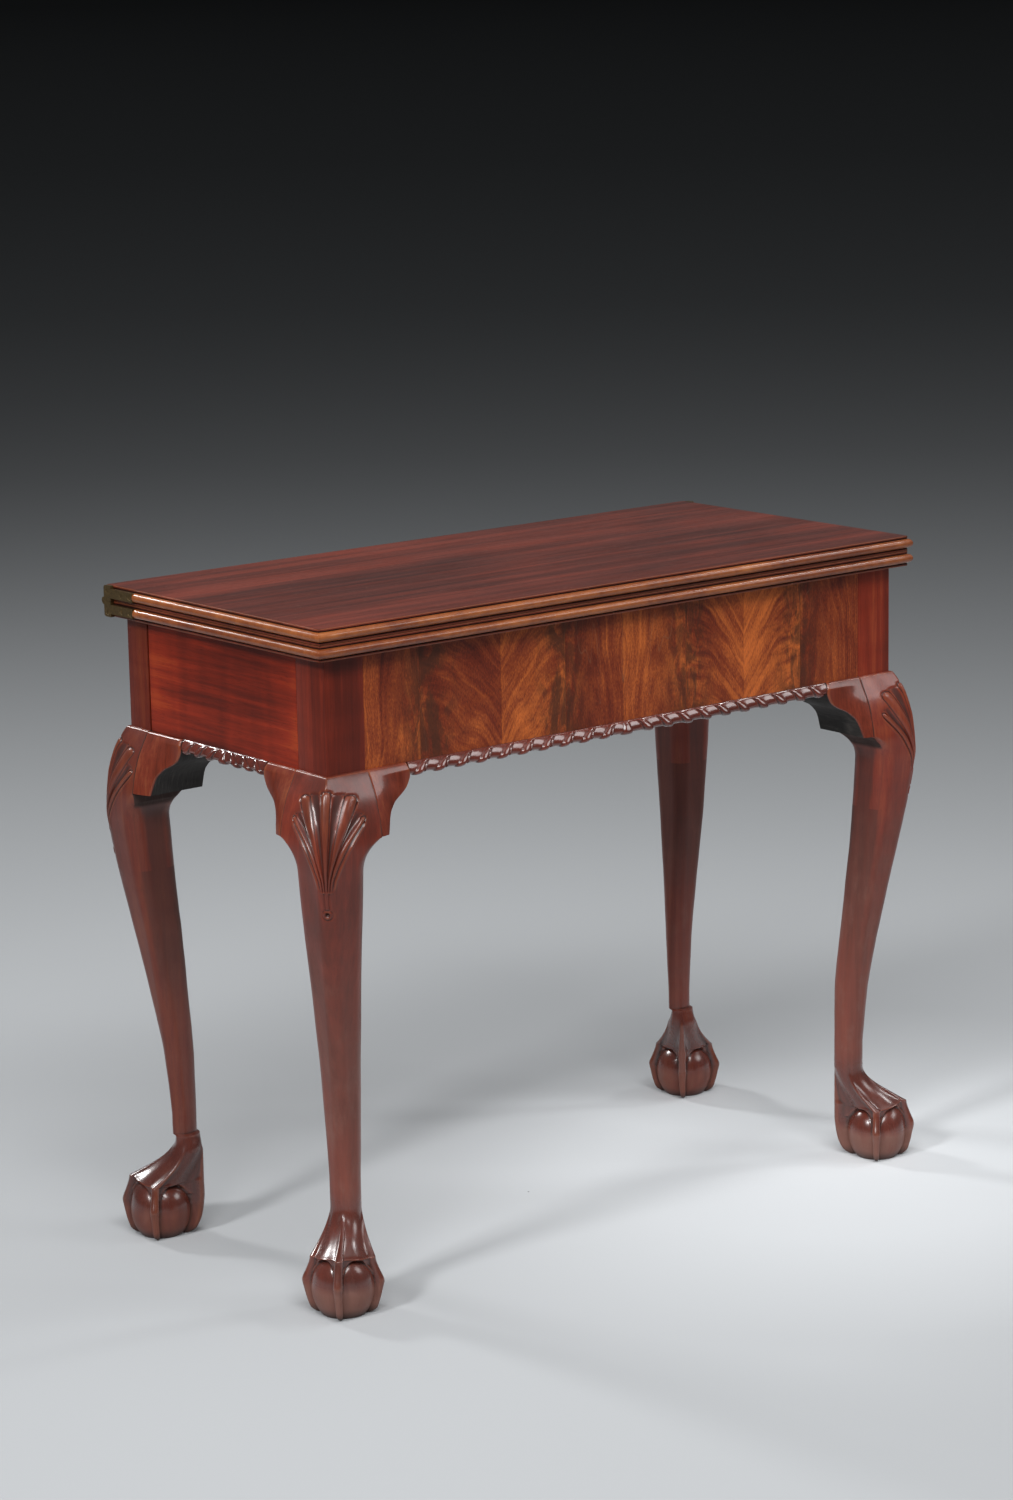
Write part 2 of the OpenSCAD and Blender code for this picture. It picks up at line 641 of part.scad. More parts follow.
module leaf_board() {
    depth = leaf_back - leaf_front;
    intersection() {
        rotate([90, 0, 90]) translate([0, 0, -leaf_x - 1]) linear_extrude(2 * leaf_x + 2)
            translate([leaf_front, 0]) mirror([1, 0]) edge_profile(depth);
        translate([0, leaf_back, 0]) rotate([90, 0, 0]) linear_extrude(depth + 1) {
            translate([leaf_x, 0]) edge_profile(leaf_x + 10);
            mirror([1, 0]) translate([leaf_x, 0]) edge_profile(leaf_x + 10);
        }
    }
}

// The bead stops where the hinge plates are let into the ends, at the back
module plate_seat() {
    box([leaf_x - plate_t - side_gap, leaf_back - plate_l - side_gap, -1],
        [leaf_x + 1, leaf_back + 1, leaf_t + 1]);
}

// Places of the screws on a plate as [y, z], z counted from the leaf's outer face
arm_h = 2 * bead_r;
screw_spots = [[leaf_back - plate_root / 2, 5], [leaf_back - plate_l + 5, leaf_t / 2],
    [leaf_back - (plate_l + plate_root) / 2, leaf_t / 2]];
head_r = screw_r * 1.9;
module screw_shape(g = 0) {
    rotate([0, -90, 0]) {
        cylinder(h = screw_l + g, r = screw_r + g, $fn = 24);
        translate([0, 0, -e]) cylinder(h = head_r - screw_r + e, r1 = head_r + g, r2 = screw_r + g, $fn = 24);
    }
}
module screws(g = 0) {
    for (p = screw_spots) translate([leaf_x, p[0], p[1]]) screw_shape(g);
}

// A leaf, the right way up for the lower one: its outer face is at Z = 0
module leaf() {
    difference() {
        leaf_board();
        both_ends() {
            plate_seat();
            screws(pin_gap);
        }
    }
}

// A hinge plate on the right end of a lower leaf, with its eye around the axis at Z = leaf_t.
// The lower plate's eye is a fork of two cheeks and the upper plate's eye is the tongue.
tongue_t = plate_t / 3;
side_gap = 0.06;
eye_z = leaf_t + leaf_gap / 2;
module eye_slice(a, b, r) {
    translate([leaf_x - plate_t + a, hinge_y, eye_z]) rotate([0, 90, 0])
        cylinder(h = b - a, r = r, $fn = 40);
}
module plate_flat() {
    x0 = leaf_x - plate_t;
    box([x0, leaf_back - plate_l, leaf_t / 2 - arm_h / 2], [leaf_x, leaf_back, leaf_t / 2 + arm_h / 2]);
    translate([x0, 0, 0]) rotate([90, 0, 90]) linear_extrude(plate_t) difference() {
        translate([leaf_back - plate_root, 0]) square([plate_root, leaf_t]);
        translate([leaf_back - 3, 0]) difference() {
            translate([0, -1]) square([4, 4]);
            translate([0, 3]) circle(r = 3, $fn = 32);
        }
    }
}
module lower_plate() {
    difference() {
        union() {
            plate_flat();
            eye_slice(0, tongue_t - side_gap, eye_r);
            eye_slice(2 * tongue_t + side_gap, plate_t, eye_r);
        }
        eye_slice(tongue_t - side_gap, 2 * tongue_t + side_gap, eye_r + 0.2);
        eye_slice(-1, plate_t + 1, hinge_pin_r + pin_gap);
        screws(pin_gap);
    }
}
module upper_plate() {
    difference() {
        union() {
            plate_flat();
            eye_slice(tongue_t, 2 * tongue_t, eye_r);
        }
        eye_slice(-1, tongue_t, eye_r + 0.2);
        eye_slice(2 * tongue_t, plate_t + 1, eye_r + 0.2);
        eye_slice(-1, plate_t + 1, hinge_pin_r + pin_gap);
        screws(pin_gap);
    }
}

// Puts a lower leaf's piece in its place, or turns it over for the upper leaf
module lower_place() {
    translate([0, 0, frame_top]) children();
}
module upper_place() {
    translate([0, 0, table_h]) mirror([0, 0, 1]) children();
}

module lower_leaf() { color(mahogany) lower_place() leaf(); }
module upper_leaf() { color(mahogany) upper_place() leaf(); }
module lower_right_hinge() { color(brass) lower_place() lower_plate(); }
module lower_left_hinge() { mirror([1, 0, 0]) lower_right_hinge(); }
module upper_right_hinge() { color(brass) upper_place() upper_plate(); }
module upper_left_hinge() { mirror([1, 0, 0]) upper_right_hinge(); }
module lower_hinge_screws() { color(brass) lower_place() both_ends() screws(); }
module upper_hinge_screws() { color(brass) upper_place() both_ends() screws(); }
module hinge_pins() {
    color(brass) lower_place() both_ends() eye_slice(0, plate_t, hinge_pin_r);
}

front_rail();
front_veneer();
left_end_rail();
right_end_rail();
inner_back_rail();
hinge_rail();
knuckle_pin();
glue_blocks();
front_left_leg();
front_right_leg();
rear_right_leg();
front_left_block();
front_right_block();
left_front_block();
right_front_block();
right_rear_block();
front_gadroon();
left_gadroon();
right_gadroon();
lower_leaf();
lower_left_hinge();
lower_right_hinge();
lower_hinge_screws();
hinge_pins();
upper_leaf();
upper_left_hinge();
upper_right_hinge();
upper_hinge_screws();
fly_rail();
fly_leg();
fly_block();
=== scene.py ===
"""Looks of a folding card table: carved cabriole legs, gadrooned rails, a crotch-veneered
front and two moulded leaves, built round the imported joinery. Shapes are worked out as grids in
millimetres and put into the meshes in metres. Front is -Y, up is +Z."""

import math

import bmesh
import bpy
import numpy as np
from bpy.props import FloatProperty, FloatVectorProperty, IntProperty, PointerProperty
from mathutils import Matrix, Vector


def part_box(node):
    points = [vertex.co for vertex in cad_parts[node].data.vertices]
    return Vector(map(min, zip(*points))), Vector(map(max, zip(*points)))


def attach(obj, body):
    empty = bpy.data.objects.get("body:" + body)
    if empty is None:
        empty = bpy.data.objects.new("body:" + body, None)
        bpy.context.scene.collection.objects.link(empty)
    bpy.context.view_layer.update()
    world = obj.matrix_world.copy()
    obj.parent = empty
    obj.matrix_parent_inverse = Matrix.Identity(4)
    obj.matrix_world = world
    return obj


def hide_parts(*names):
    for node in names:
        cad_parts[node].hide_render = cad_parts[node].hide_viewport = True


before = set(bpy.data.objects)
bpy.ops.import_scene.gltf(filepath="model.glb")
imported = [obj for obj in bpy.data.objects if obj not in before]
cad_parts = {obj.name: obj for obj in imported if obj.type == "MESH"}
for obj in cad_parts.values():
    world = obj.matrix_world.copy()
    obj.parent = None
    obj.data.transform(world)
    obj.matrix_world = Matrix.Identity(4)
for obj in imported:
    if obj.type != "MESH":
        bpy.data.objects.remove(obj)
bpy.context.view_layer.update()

bl_info = {
    "name": "Folding card table",
    "version": (1, 0, 0),
    "blender": (4, 5, 0),
    "location": "View3D > Sidebar > Card table",
    "description": "Carves and polishes a folding card table round its joinery",
    "category": "Object",
}

MM = 0.001


def edges(node):
    """Lowest and highest corner of a joinery piece, in millimetres."""
    low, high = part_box(node)
    return np.array(low) / MM, np.array(high) / MM


# ---------------------------------------------------------------- places taken from the frame
LEAF_LOW, LEAF_HIGH = edges("lower_leaf")
TOP_Z = edges("upper_leaf")[1][2]
LEAF_T = LEAF_HIGH[2] - LEAF_LOW[2]
LEAF_X, LEAF_FRONT, LEAF_BACK = LEAF_HIGH[0], LEAF_LOW[1], LEAF_HIGH[1]
VENEER_LOW, VENEER_HIGH = edges("front_veneer")
FRAME_X = -edges("left_end_rail")[0][0]
FRAME_Y = -VENEER_LOW[1]
LEG_H = VENEER_LOW[2]
FRAME_TOP = VENEER_HIGH[2]
FLY_TOP = edges("fly_rail")[1][2]
POST_W = FRAME_X - VENEER_HIGH[0]
REAR_FRONT_Y = edges("right_rear_block")[1][1]
REAR_D = FRAME_Y - REAR_FRONT_Y
PLATE_T, SEAT_L = 4.5, 52.06  # a hinge plate's thickness and the length of its seat
FAN_DEPTH = 2.6  # of the fan as it is drawn


# ---------------------------------------------------------------- user's sizes and colours
class CardTableSizes(bpy.types.PropertyGroup):
    foot_inset: FloatProperty(
        name="Foot inset", description="How far a foot's middle lies inside the frame's faces",
        default=8.7 * MM, subtype="DISTANCE", unit="LENGTH")
    knee_out: FloatProperty(
        name="Knee", description="How far the knee stands out past the post",
        default=25.8 * MM, subtype="DISTANCE", unit="LENGTH")
    ankle_radius: FloatProperty(
        name="Ankle radius", description="Radius of the ankle",
        default=16 * MM, subtype="DISTANCE", unit="LENGTH")
    ball_radius: FloatProperty(
        name="Ball radius", description="Radius of the ball that the claws hold",
        default=33 * MM, subtype="DISTANCE", unit="LENGTH")
    fan_depth: FloatProperty(
        name="Fan depth", description="Depth of the fan carved on a knee",
        default=FAN_DEPTH * MM, subtype="DISTANCE", unit="LENGTH")
    bead_radius: FloatProperty(
        name="Bead radius", description="Radius of the bead round a leaf",
        default=4.9 * MM, subtype="DISTANCE", unit="LENGTH")
    front_lobes: IntProperty(
        name="Front lobes", description="Lobes of the gadroon along the front", default=21)
    end_lobes: IntProperty(
        name="End lobes", description="Lobes of the gadroon along an end", default=7)


class CardTableFinish(bpy.types.PropertyGroup):
    polish: FloatVectorProperty(
        name="Mahogany", description="Polished mahogany of the legs and rails",
        subtype="COLOR", size=3, default=(0.190, 0.021, 0.008))
    top: FloatVectorProperty(
        name="Leaves", description="Mahogany of the leaves",
        subtype="COLOR", size=3, default=(0.112, 0.019, 0.010))
    flame: FloatVectorProperty(
        name="Crotch veneer", description="Golden part of the crotch veneer",
        subtype="COLOR", size=3, default=(0.460, 0.109, 0.022))
    brass: FloatVectorProperty(
        name="Brass", description="Aged brass of the hinges",
        subtype="COLOR", size=3, default=(0.230, 0.150, 0.062))
    floor: FloatVectorProperty(
        name="Floor", description="Pale floor",
        subtype="COLOR", size=3, default=(0.62, 0.64, 0.66))


# ---------------------------------------------------------------- numbers on curves and grids
def smooth_curve(x, points):
    """A cubic through listed points; its slope at each is that between its neighbours."""
    px, py = np.array(points, float).T
    slope = np.empty_like(py)
    slope[1:-1] = (py[2:] - py[:-2]) / (px[2:] - px[:-2])
    slope[0] = (py[1] - py[0]) / (px[1] - px[0])
    slope[-1] = (py[-1] - py[-2]) / (px[-1] - px[-2])
    x = np.clip(x, px[0], px[-1])
    i = np.clip(np.searchsorted(px, x, side="right") - 1, 0, len(px) - 2)
    h = px[i + 1] - px[i]
    t = (x - px[i]) / h
    return ((2 * t**3 - 3 * t**2 + 1) * py[i] + (3 * t**2 - 2 * t**3) * py[i + 1]
            + h * ((t**3 - 2 * t**2 + t) * slope[i] + (t**3 - t**2) * slope[i + 1]))


def ease(x, low, high):
    """0 below low, 1 above high, and a smooth step between."""
    t = np.clip((x - low) / (high - low), 0, 1)
    return t * t * (3 - 2 * t)


def soft_max(a, b, k):
    """The larger of two values, rounded over a difference of k."""
    h = np.maximum(k - np.abs(a - b), 0)
    return np.maximum(a, b) + h * h / (4 * k)


def bell(x, width):
    """1 where x is 0, falling to 0 on both sides over about twice the width."""
    return np.exp(-(x / width)**2)


def round_over(inside, radius):
    """How far a rounded edge falls short so far inside it, as a share of its radius."""
    return 1 - np.sqrt(1 - np.clip(1 - inside / radius, 0, 1)**2)


def xyz(x, y, z):
    """Points from three sets of coordinates, each spread over the others."""
    return np.stack(np.broadcast_arrays(x, y, z), -1)


def ripple(p, seed, size):
    """A sum of five plane waves of about the given size through points p, from -1 to 1."""
    waves = np.random.default_rng(seed)
    total = np.zeros(p.shape[:-1])
    for _ in range(5):
        d = waves.normal(size=3)
        d *= 2 * np.pi / (size * waves.uniform(0.7, 1.5) * np.linalg.norm(d))
        total += np.sin(p @ d + waves.uniform(0, 6.28))
    return total / 3


def grid_normals(g, wrap):
    """Unit normals of a grid, from the cross product of its row and column differences."""
    if wrap:
        along = np.roll(g, -1, axis=1) - np.roll(g, 1, axis=1)
    else:
        along = np.gradient(g, axis=1)
    up = np.gradient(g, axis=0)
    n = np.cross(along, up)
    return n / np.maximum(np.linalg.norm(n, axis=-1, keepdims=True), 1e-9)


def wear_of(g, wrap, reach=2, scale=0.45):
    """How hollow (-1) or proud (+1) each point of a grid is: its height over the mean of its
    neighbours a few points away, measured along its normal and divided by scale."""
    def shifted(step, axis):
        if axis == 1 and wrap:
            return np.roll(g, step, axis=1)
        index = np.clip(np.arange(g.shape[axis]) - step, 0, g.shape[axis] - 1)
        return np.take(g, index, axis=axis)

    near = [shifted(s, a) for a in (0, 1) for s in (-reach, reach)]
    coarse = np.max([np.linalg.norm(p - g, axis=-1) for p in near], axis=0) / reach
    worn = np.sum((g - sum(near) / 4) * grid_normals(g, wrap), axis=-1) / scale
    return np.clip(worn * np.clip(1.3 / coarse, 0, 1)**2, -1, 1)


def put(name, data):
    """A new object in the scene, at the origin."""
    made = bpy.data.objects.new(name, data)
    bpy.context.scene.collection.objects.link(made)
    return made


class Skin:
    """Gathers the surfaces of one piece in millimetres and makes its object."""

    def __init__(self):
        self.points, self.faces, self.fields, self.total = [], [], {}, 0

    def add(self, points, faces, **fields):
        """Adds points, faces of equal size in each array, and values at the points by name."""
        for name in sorted(set(fields) | set(self.fields)):
            values = np.ravel(fields.get(name, 0.0)).astype(float)
            self.fields.setdefault(name, [np.zeros(self.total)]).append(
                np.broadcast_to(values, (len(points),)))
        self.points.append(points)
        self.faces += [np.asarray(f, int) + self.total for f in faces]
        self.total += len(points)

    def grid(self, g, wrap=False, caps=False, **fields):
        """Quads between neighbouring points of a grid of rows. wrap joins its last column to
        its first, and caps closes the first and the last row with a fan round its middle. A
        field has a value for each point, or fewer that are spread over them."""
        rows, cols = g.shape[:2]
        ids = np.arange(rows * cols).reshape(rows, cols)
        near, far = (ids, np.roll(ids, -1, axis=1)) if wrap else (ids[:, :-1], ids[:, 1:])
        faces = [np.stack([near[:-1], far[:-1], far[1:], near[1:]], -1).reshape(-1, 4)]
        points = g.reshape(-1, 3)
        fields = {k: np.broadcast_to(v, (rows, cols)) for k, v in fields.items()}
        if caps:
            middle = rows * cols
            points = np.vstack([points, g[0].mean(0), g[-1].mean(0)])
            for row, hub, turn in ((0, middle, 1), (-1, middle + 1, -1)):
                fan = np.stack([np.full(cols, hub), far[row], near[row]], -1)
                faces.append(fan[:, ::turn])
            fields = {k: np.append(v, [np.mean(v[0]), np.mean(v[-1])])
                      for k, v in fields.items()}
        self.add(points, faces, **fields)
        return self

    def build(self, name, body, slot, material, replaces=(), merge=False, angle=38.0, uv=None):
        """Makes the mesh object, points its faces outwards, and hands it to the frame."""
        mesh = bpy.data.meshes.new(name)
        points = np.vstack(self.points) * MM
        corners = np.concatenate([f.ravel() for f in self.faces])
        sizes = np.concatenate([np.full(len(f), f.shape[1]) for f in self.faces])
        mesh.vertices.add(len(points))
        mesh.vertices.foreach_set("co", points.astype(np.float32).ravel())
        mesh.loops.add(len(corners))
        mesh.loops.foreach_set("vertex_index", corners.astype(np.int32))
        mesh.polygons.add(len(sizes))
        mesh.polygons.foreach_set(
            "loop_start", np.concatenate([[0], np.cumsum(sizes)[:-1]]).astype(np.int32))
        mesh.update(calc_edges=True)
        for field, values in self.fields.items():
            attribute = mesh.attributes.new(field, "FLOAT", "POINT")
            attribute.data.foreach_set("value", np.concatenate(values).astype(np.float32))
        if uv is not None:
            layer = mesh.uv_layers.new(name="UVMap")
            layer.data.foreach_set("uv", uv[corners].astype(np.float32).ravel())
        mesh.validate()
        edit = bmesh.new()
        edit.from_mesh(mesh)
        if merge:
            bmesh.ops.remove_doubles(edit, verts=edit.verts, dist=1e-6)
            bmesh.ops.dissolve_degenerate(edit, edges=edit.edges, dist=1e-7)
        bmesh.ops.recalc_face_normals(edit, faces=edit.faces)
        edit.to_mesh(mesh)
        edit.free()
        mesh.polygons.foreach_set("use_smooth", np.ones(len(mesh.polygons), bool))
        mesh.set_sharp_from_angle(angle=math.radians(angle))
        mesh.materials.append(material)
        piece = put(name, mesh)
        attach(piece, body)
        if replaces:
            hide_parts(*replaces)
        return piece


# ---------------------------------------------------------------- shader sockets as values
class Sock:
    """A shader socket. Operators on it add Math nodes, and make() adds any other node."""

    def __init__(self, tree, socket=None):
        self.tree, self.socket = tree, socket

    def make(self, kind, settings=(), inputs=(), output=0):
        """A new node's output. Settings are its properties, or the stops of its ramp."""
        node = self.tree.nodes.new(kind)
        for key, value in dict(settings).items():
            if key == "stops":
                ramp = node.color_ramp.elements
                while len(ramp) < len(value):
                    ramp.new(0.5)
                for stop, (place, colour) in zip(ramp, value):
                    stop.position, stop.color = place, (*colour, 1.0)
            else:
                setattr(node, key, value)
        for key, value in dict(inputs).items():
            target = node.inputs[key]
            if isinstance(value, Sock):
                self.tree.links.new(value.socket, target)
            else:
                target.default_value = value
        return Sock(self.tree, node.outputs[output])

    def math(self, operation, *values):
        return self.make("ShaderNodeMath", {"operation": operation}, dict(enumerate(values)))

    def __add__(self, other):
        return self.math("ADD", self, other)

    __radd__ = __add__

    def __sub__(self, other):
        return self.math("SUBTRACT", self, other)

    def __rsub__(self, other):
        return self.math("SUBTRACT", other, self)

    def __mul__(self, other):
        return self.math("MULTIPLY", self, other)

    __rmul__ = __mul__

    def __truediv__(self, other):
        return self.math("DIVIDE", self, other)

    def __rtruediv__(self, other):
        return self.math("DIVIDE", other, self)

    def __pow__(self, other):
        return self.math("POWER", self, other)

    def span(self, low, high, to_low=0.0, to_high=1.0):
        """This value carried smoothly from one span to another, and held at its ends."""
        return self.make("ShaderNodeMapRange", {"interpolation_type": "SMOOTHSTEP"},
                         {0: self, 1: low, 2: high, 3: to_low, 4: to_high})

    def times(self, vector):
        """This vector stretched along the three axes."""
        return self.make("ShaderNodeVectorMath", {"operation": "MULTIPLY"}, {0: self, 1: vector})

    def noise(self, detail=3.0, rough=0.55, bend=0.0):
        """Noise of size one over this vector, from 0 to 1."""
        return self.make("ShaderNodeTexNoise", {"noise_dimensions": "3D"},
                         {"Vector": self, "Scale": 1.0, "Detail": detail, "Roughness": rough,
                          "Distortion": bend})

    def mix(self, other, share):
        """This colour mixed with another by a share from 0 to 1."""
        if not isinstance(other, Sock):
            other = (*other, 1)
        return self.make("ShaderNodeMix", {"data_type": "RGBA", "blend_type": "MIX"},
                         {0: share, 6: self, 7: other}, output=2)

    def ramp(self, *stops):
        """The colour for this value between stops, each a place and a colour."""
        return self.make("ShaderNodeValToRGB", {"stops": stops}, {0: self})

    def field(self, name):
        """A value that the mesh holds at each point."""
        return self.make("ShaderNodeAttribute", {"attribute_name": name}, output="Fac")

    def bump(self, strength, distance):
        """Normals bent by this value, taken as a height."""
        return self.make("ShaderNodeBump", (), {"Strength": strength, "Distance": distance,
                                                "Height": self})


def new_material(name):
    """An empty material, its node tree, and the shaded point's place on the object."""
    material = bpy.data.materials.new(name)
    material.use_nodes = True
    material.node_tree.nodes.clear()
    s = Sock(material.node_tree)
    return material, s, s.make("ShaderNodeTexCoord", output="Object")


def close_material(s, **inputs):
    """Joins a Principled BSDF with these inputs to the output."""
    shader = s.make("ShaderNodeBsdfPrincipled", (),
                    {key.replace("_", " "): value for key, value in inputs.items()})
    output = s.tree.nodes.new("ShaderNodeOutputMaterial")
    s.tree.links.new(shader.socket, output.inputs["Surface"])


def rgb(colour, gain=1.0):
    """A colour made lighter or darker by a gain."""
    return tuple(min(1.0, c * gain) for c in colour)


FACE_TOP = (0.5613, 0.5587)  # the rails' lower edge, in metres, as a smooth step
GRAIN_TURN = {"X": (0, 0, 0), "Y": (0, 0, -math.pi / 2), "Z": (0, math.pi / 2, 0)}
# The second colour lightens proud edges, part worn wood and part painted highlight
UNFINISHED, EDGE_WEAR_AND_HIGHLIGHT = (0.022, 0.019, 0.017), (0.27, 0.072, 0.023)


def wood(name, colour, grain="X", shift=(0, 0, 0), contrast=1.0, gloss=0.30, coat=0.08,
         low_coat=None, dust_and_sheen=0.0, glow=0.0, dark_gain=0.32, light_gain=1.75):
    """Polished mahogany. Streaks and bands are noise stretched along the grain, pores are
    short dark dashes, and a faint ribbon crosses them. The field of wear and shading darkens
    hollows with painted shade and shows lighter wood on proud edges, part wear and part painted
    highlight; the raw field gives sawn, unfinished, dark faces. Under the rails the polish may
    be thicker (low_coat), and towards the floor a leg is dulled and paled, part dust and part
    painted sheen reflected from the floor."""
    material, s, place = new_material(name)
    level = s.make("ShaderNodeSeparateXYZ", (), {0: place}, output=2)
    patch = place.times((6, 6, 9)).noise(2.0, 0.5, 0.4)
    place = s.make("ShaderNodeMapping", {"vector_type": "POINT"},
                   {"Vector": place, "Rotation": GRAIN_TURN[grain], "Location": shift})
    bend = place.times((2.0, 5.0, 5.0)).noise(1.0)
    band = place.times((0.9, 13, 13)).noise(2.0, 0.5, 0.6)
    streak = place.times((3.0, 75, 75)).noise(3.0, 0.6, 0.25)
    fine = place.times((14, 420, 420)).noise(2.0, 0.6)
    pore = place.times((95, 1500, 1500)).noise(1.0, 0.5).span(0.60, 0.72)
    ribbon = place.times((26, 5, 5)).noise(2.0, 0.5, 0.8)
    tone = (band - 0.5) * 1.2 + (streak - 0.5) * 0.9 + (fine - 0.5) * 0.45 \
        + (ribbon - 0.5) * 0.35 + (bend - 0.5) * 0.3
    tone = (tone * contrast + (patch - 0.5) * glow + 0.5).span(0.0, 1.0)
    pale = tuple(c * light_gain * k for c, k in zip(colour, (1.0, 1.7, 1.4)))
    base = tone.ramp((0.0, rgb(colour, dark_gain)), (0.38, rgb(colour, 0.78)),
                     (0.62, rgb(colour, 1.12)), (1.0, pale))
    base = base.mix(rgb(colour, 0.25), pore * 0.38)
    wear = s.field("wear")
    raw = s.field("raw")
    # Proud edges are lighter, part wear and part painted highlight, and hollows are darkened
    # with painted shade
    rub = (wear * (0.55 + fine * 0.9)).span(0.10, 0.75)
    hollow = (wear * -1.0).span(0.06, 0.65)
    base = base.mix(EDGE_WEAR_AND_HIGHLIGHT, rub * 0.42)
    base = base.mix((0.012, 0.004, 0.003), hollow * 0.80)
    saw = place.times((60, 60, 900)).noise(2.0, 0.6)
    dusty = saw.ramp((0.25, rgb(UNFINISHED, 0.45)), (0.55, UNFINISHED),
                     (0.85, rgb(UNFINISHED, 2.6)))
    bare = raw.span(0.35, 0.65)
    base = base.mix(dusty, bare)
    scuff = place.times((18, 40, 40)).noise(4.0, 0.7).span(0.45, 0.75)
    rough = gloss + scuff * 0.12 + hollow * 0.25 + pore * 0.15 + bare * 0.35
    shine = coat * (1 - bare)
    if dust_and_sheen:
        # Towards the floor, and most on the lower ball, the wood is paled: part dust and part
        # painted sheen reflected from the floor
        dust_and_sheen_share = level.span(0.50, 0.20, 0.0, 0.58) + level.span(0.038, 0.027, 0.0, 0.85) \
            - level.span(0.006, 0.0, 0.0, 0.5)
        dust_and_sheen_share = dust_and_sheen_share * (0.6 + scuff * 0.7 + (streak - 0.5) * 0.6) * dust_and_sheen * (1 - bare)
        base = base.mix((0.115, 0.042, 0.032), level.span(*FACE_TOP) * 0.25)
        # The foot is darker, and darker still in its hollows, which is painted shade
        foot = level.span(0.128, 0.092) * level.span(0.024, 0.040)
        base = base.mix((0.034, 0.0065, 0.004), foot * (wear * -0.5 + 0.55))
        base = base.mix((0.205, 0.092, 0.070), dust_and_sheen_share * (1 - foot * 0.75))
        base = base.mix((0.030, 0.024, 0.022), level.span(0.012, 0.001) * 0.7)
        rough = rough + level.span(0.036, 0.022, 0.0, 0.22) - foot * 0.06
        shine = (level.span(0.40, 0.53, low_coat * 0.35, low_coat) + foot * 0.8) \
            * level.span(*FACE_TOP, coat / low_coat, 1.0) * (1 - bare) \
            * level.span(0.022, 0.036, 0.3, 1.0)
    wave = place.times((9, 38, 38)).noise(1.0)
    height = (wave * 1.1 + fine * 0.10 - pore * 0.14 + bare * saw * 0.9) * 0.30
    close_material(s, Base_Color=base, Roughness=rough, Normal=height.bump(0.5, 0.0012),
                   IOR=1.34, Coat_Weight=shine, Coat_Roughness=0.22 if dust_and_sheen else 0.12)
    return material


def edge_wood(name, colour):
    """The leaves' mahogany: long dark streaks on the flat, gold showing on the bead, small
    pale specks. The bead field is 1 on the bead."""
    material, s, place = new_material(name)
    band = place.times((0.8, 16, 16)).noise(3.0, 0.55, 0.7)
    streak = place.times((2.2, 95, 95)).noise(3.0, 0.6, 0.25)
    fine = place.times((12, 520, 520)).noise(2.0, 0.6)
    pore = place.times((80, 1500, 1500)).noise(1.0, 0.5).span(0.58, 0.72)
    cloud = place.times((3.5, 5.5, 5.5)).noise(2.0, 0.5, 0.5)
    tone = ((band - 0.5) * 1.0 + (streak - 0.5) * 0.9 + (fine - 0.5) * 0.5
            + (cloud - 0.5) * 0.7 + 0.5).span(0.0, 1.0)
    base = tone.ramp(*[(spot, rgb(colour, gain)) for spot, gain in
                       ((0.0, 0.30), (0.35, 0.75), (0.62, 1.1), (1.0, 1.8))])
    base = base.mix(rgb(colour, 0.25), pore * 0.5)
    speck = place.times((420, 420, 420)).noise(0.0).span(0.80, 0.84)
    base = base.mix((0.42, 0.24, 0.15), speck * 0.25)
    bead = s.field("bead")
    wear = s.field("wear")
    patch = place.times((30, 60, 60)).noise(4.0, 0.65)
    dash = place.times((130, 260, 260)).noise(2.0, 0.6)
    worn = place.times((9, 9, 40)).noise(2.0, 0.5)
    golden = (patch * 0.4 + dash * 0.22 + worn * 0.38).ramp(
        (0.25, (0.060, 0.012, 0.005)), (0.42, (0.175, 0.040, 0.011)),
        (0.60, (0.340, 0.100, 0.024)), (0.85, (0.480, 0.185, 0.050)))
    base = base.mix(golden, bead * 0.92)
    # Proud edges are lighter, part wear and part painted highlight, and hollows are darkened
    # with painted shade
    rub = (wear * (0.5 + dash)).span(0.12, 0.8)
    hollow = (wear * -1.0).span(0.05, 0.5)
    base = base.mix((0.34, 0.120, 0.045), rub * 0.35)
    base = base.mix((0.010, 0.005, 0.004), hollow * 0.85)
    scuff = place.times((14, 34, 34)).noise(4.0, 0.7).span(0.4, 0.75)
    rough = 0.33 + scuff * 0.12 + hollow * 0.25 + pore * 0.15
    wave = place.times((5, 26, 26)).noise(1.0)
    height = (wave * 0.8 + fine * 0.12 - pore * 0.14 + bead * dash * 0.7) * 0.30
    close_material(s, Base_Color=base, Roughness=rough, Normal=height.bump(0.45, 0.0012),
                   IOR=1.34, Coat_Weight=0.10 + bead * 0.35, Coat_Roughness=0.14)
    return material


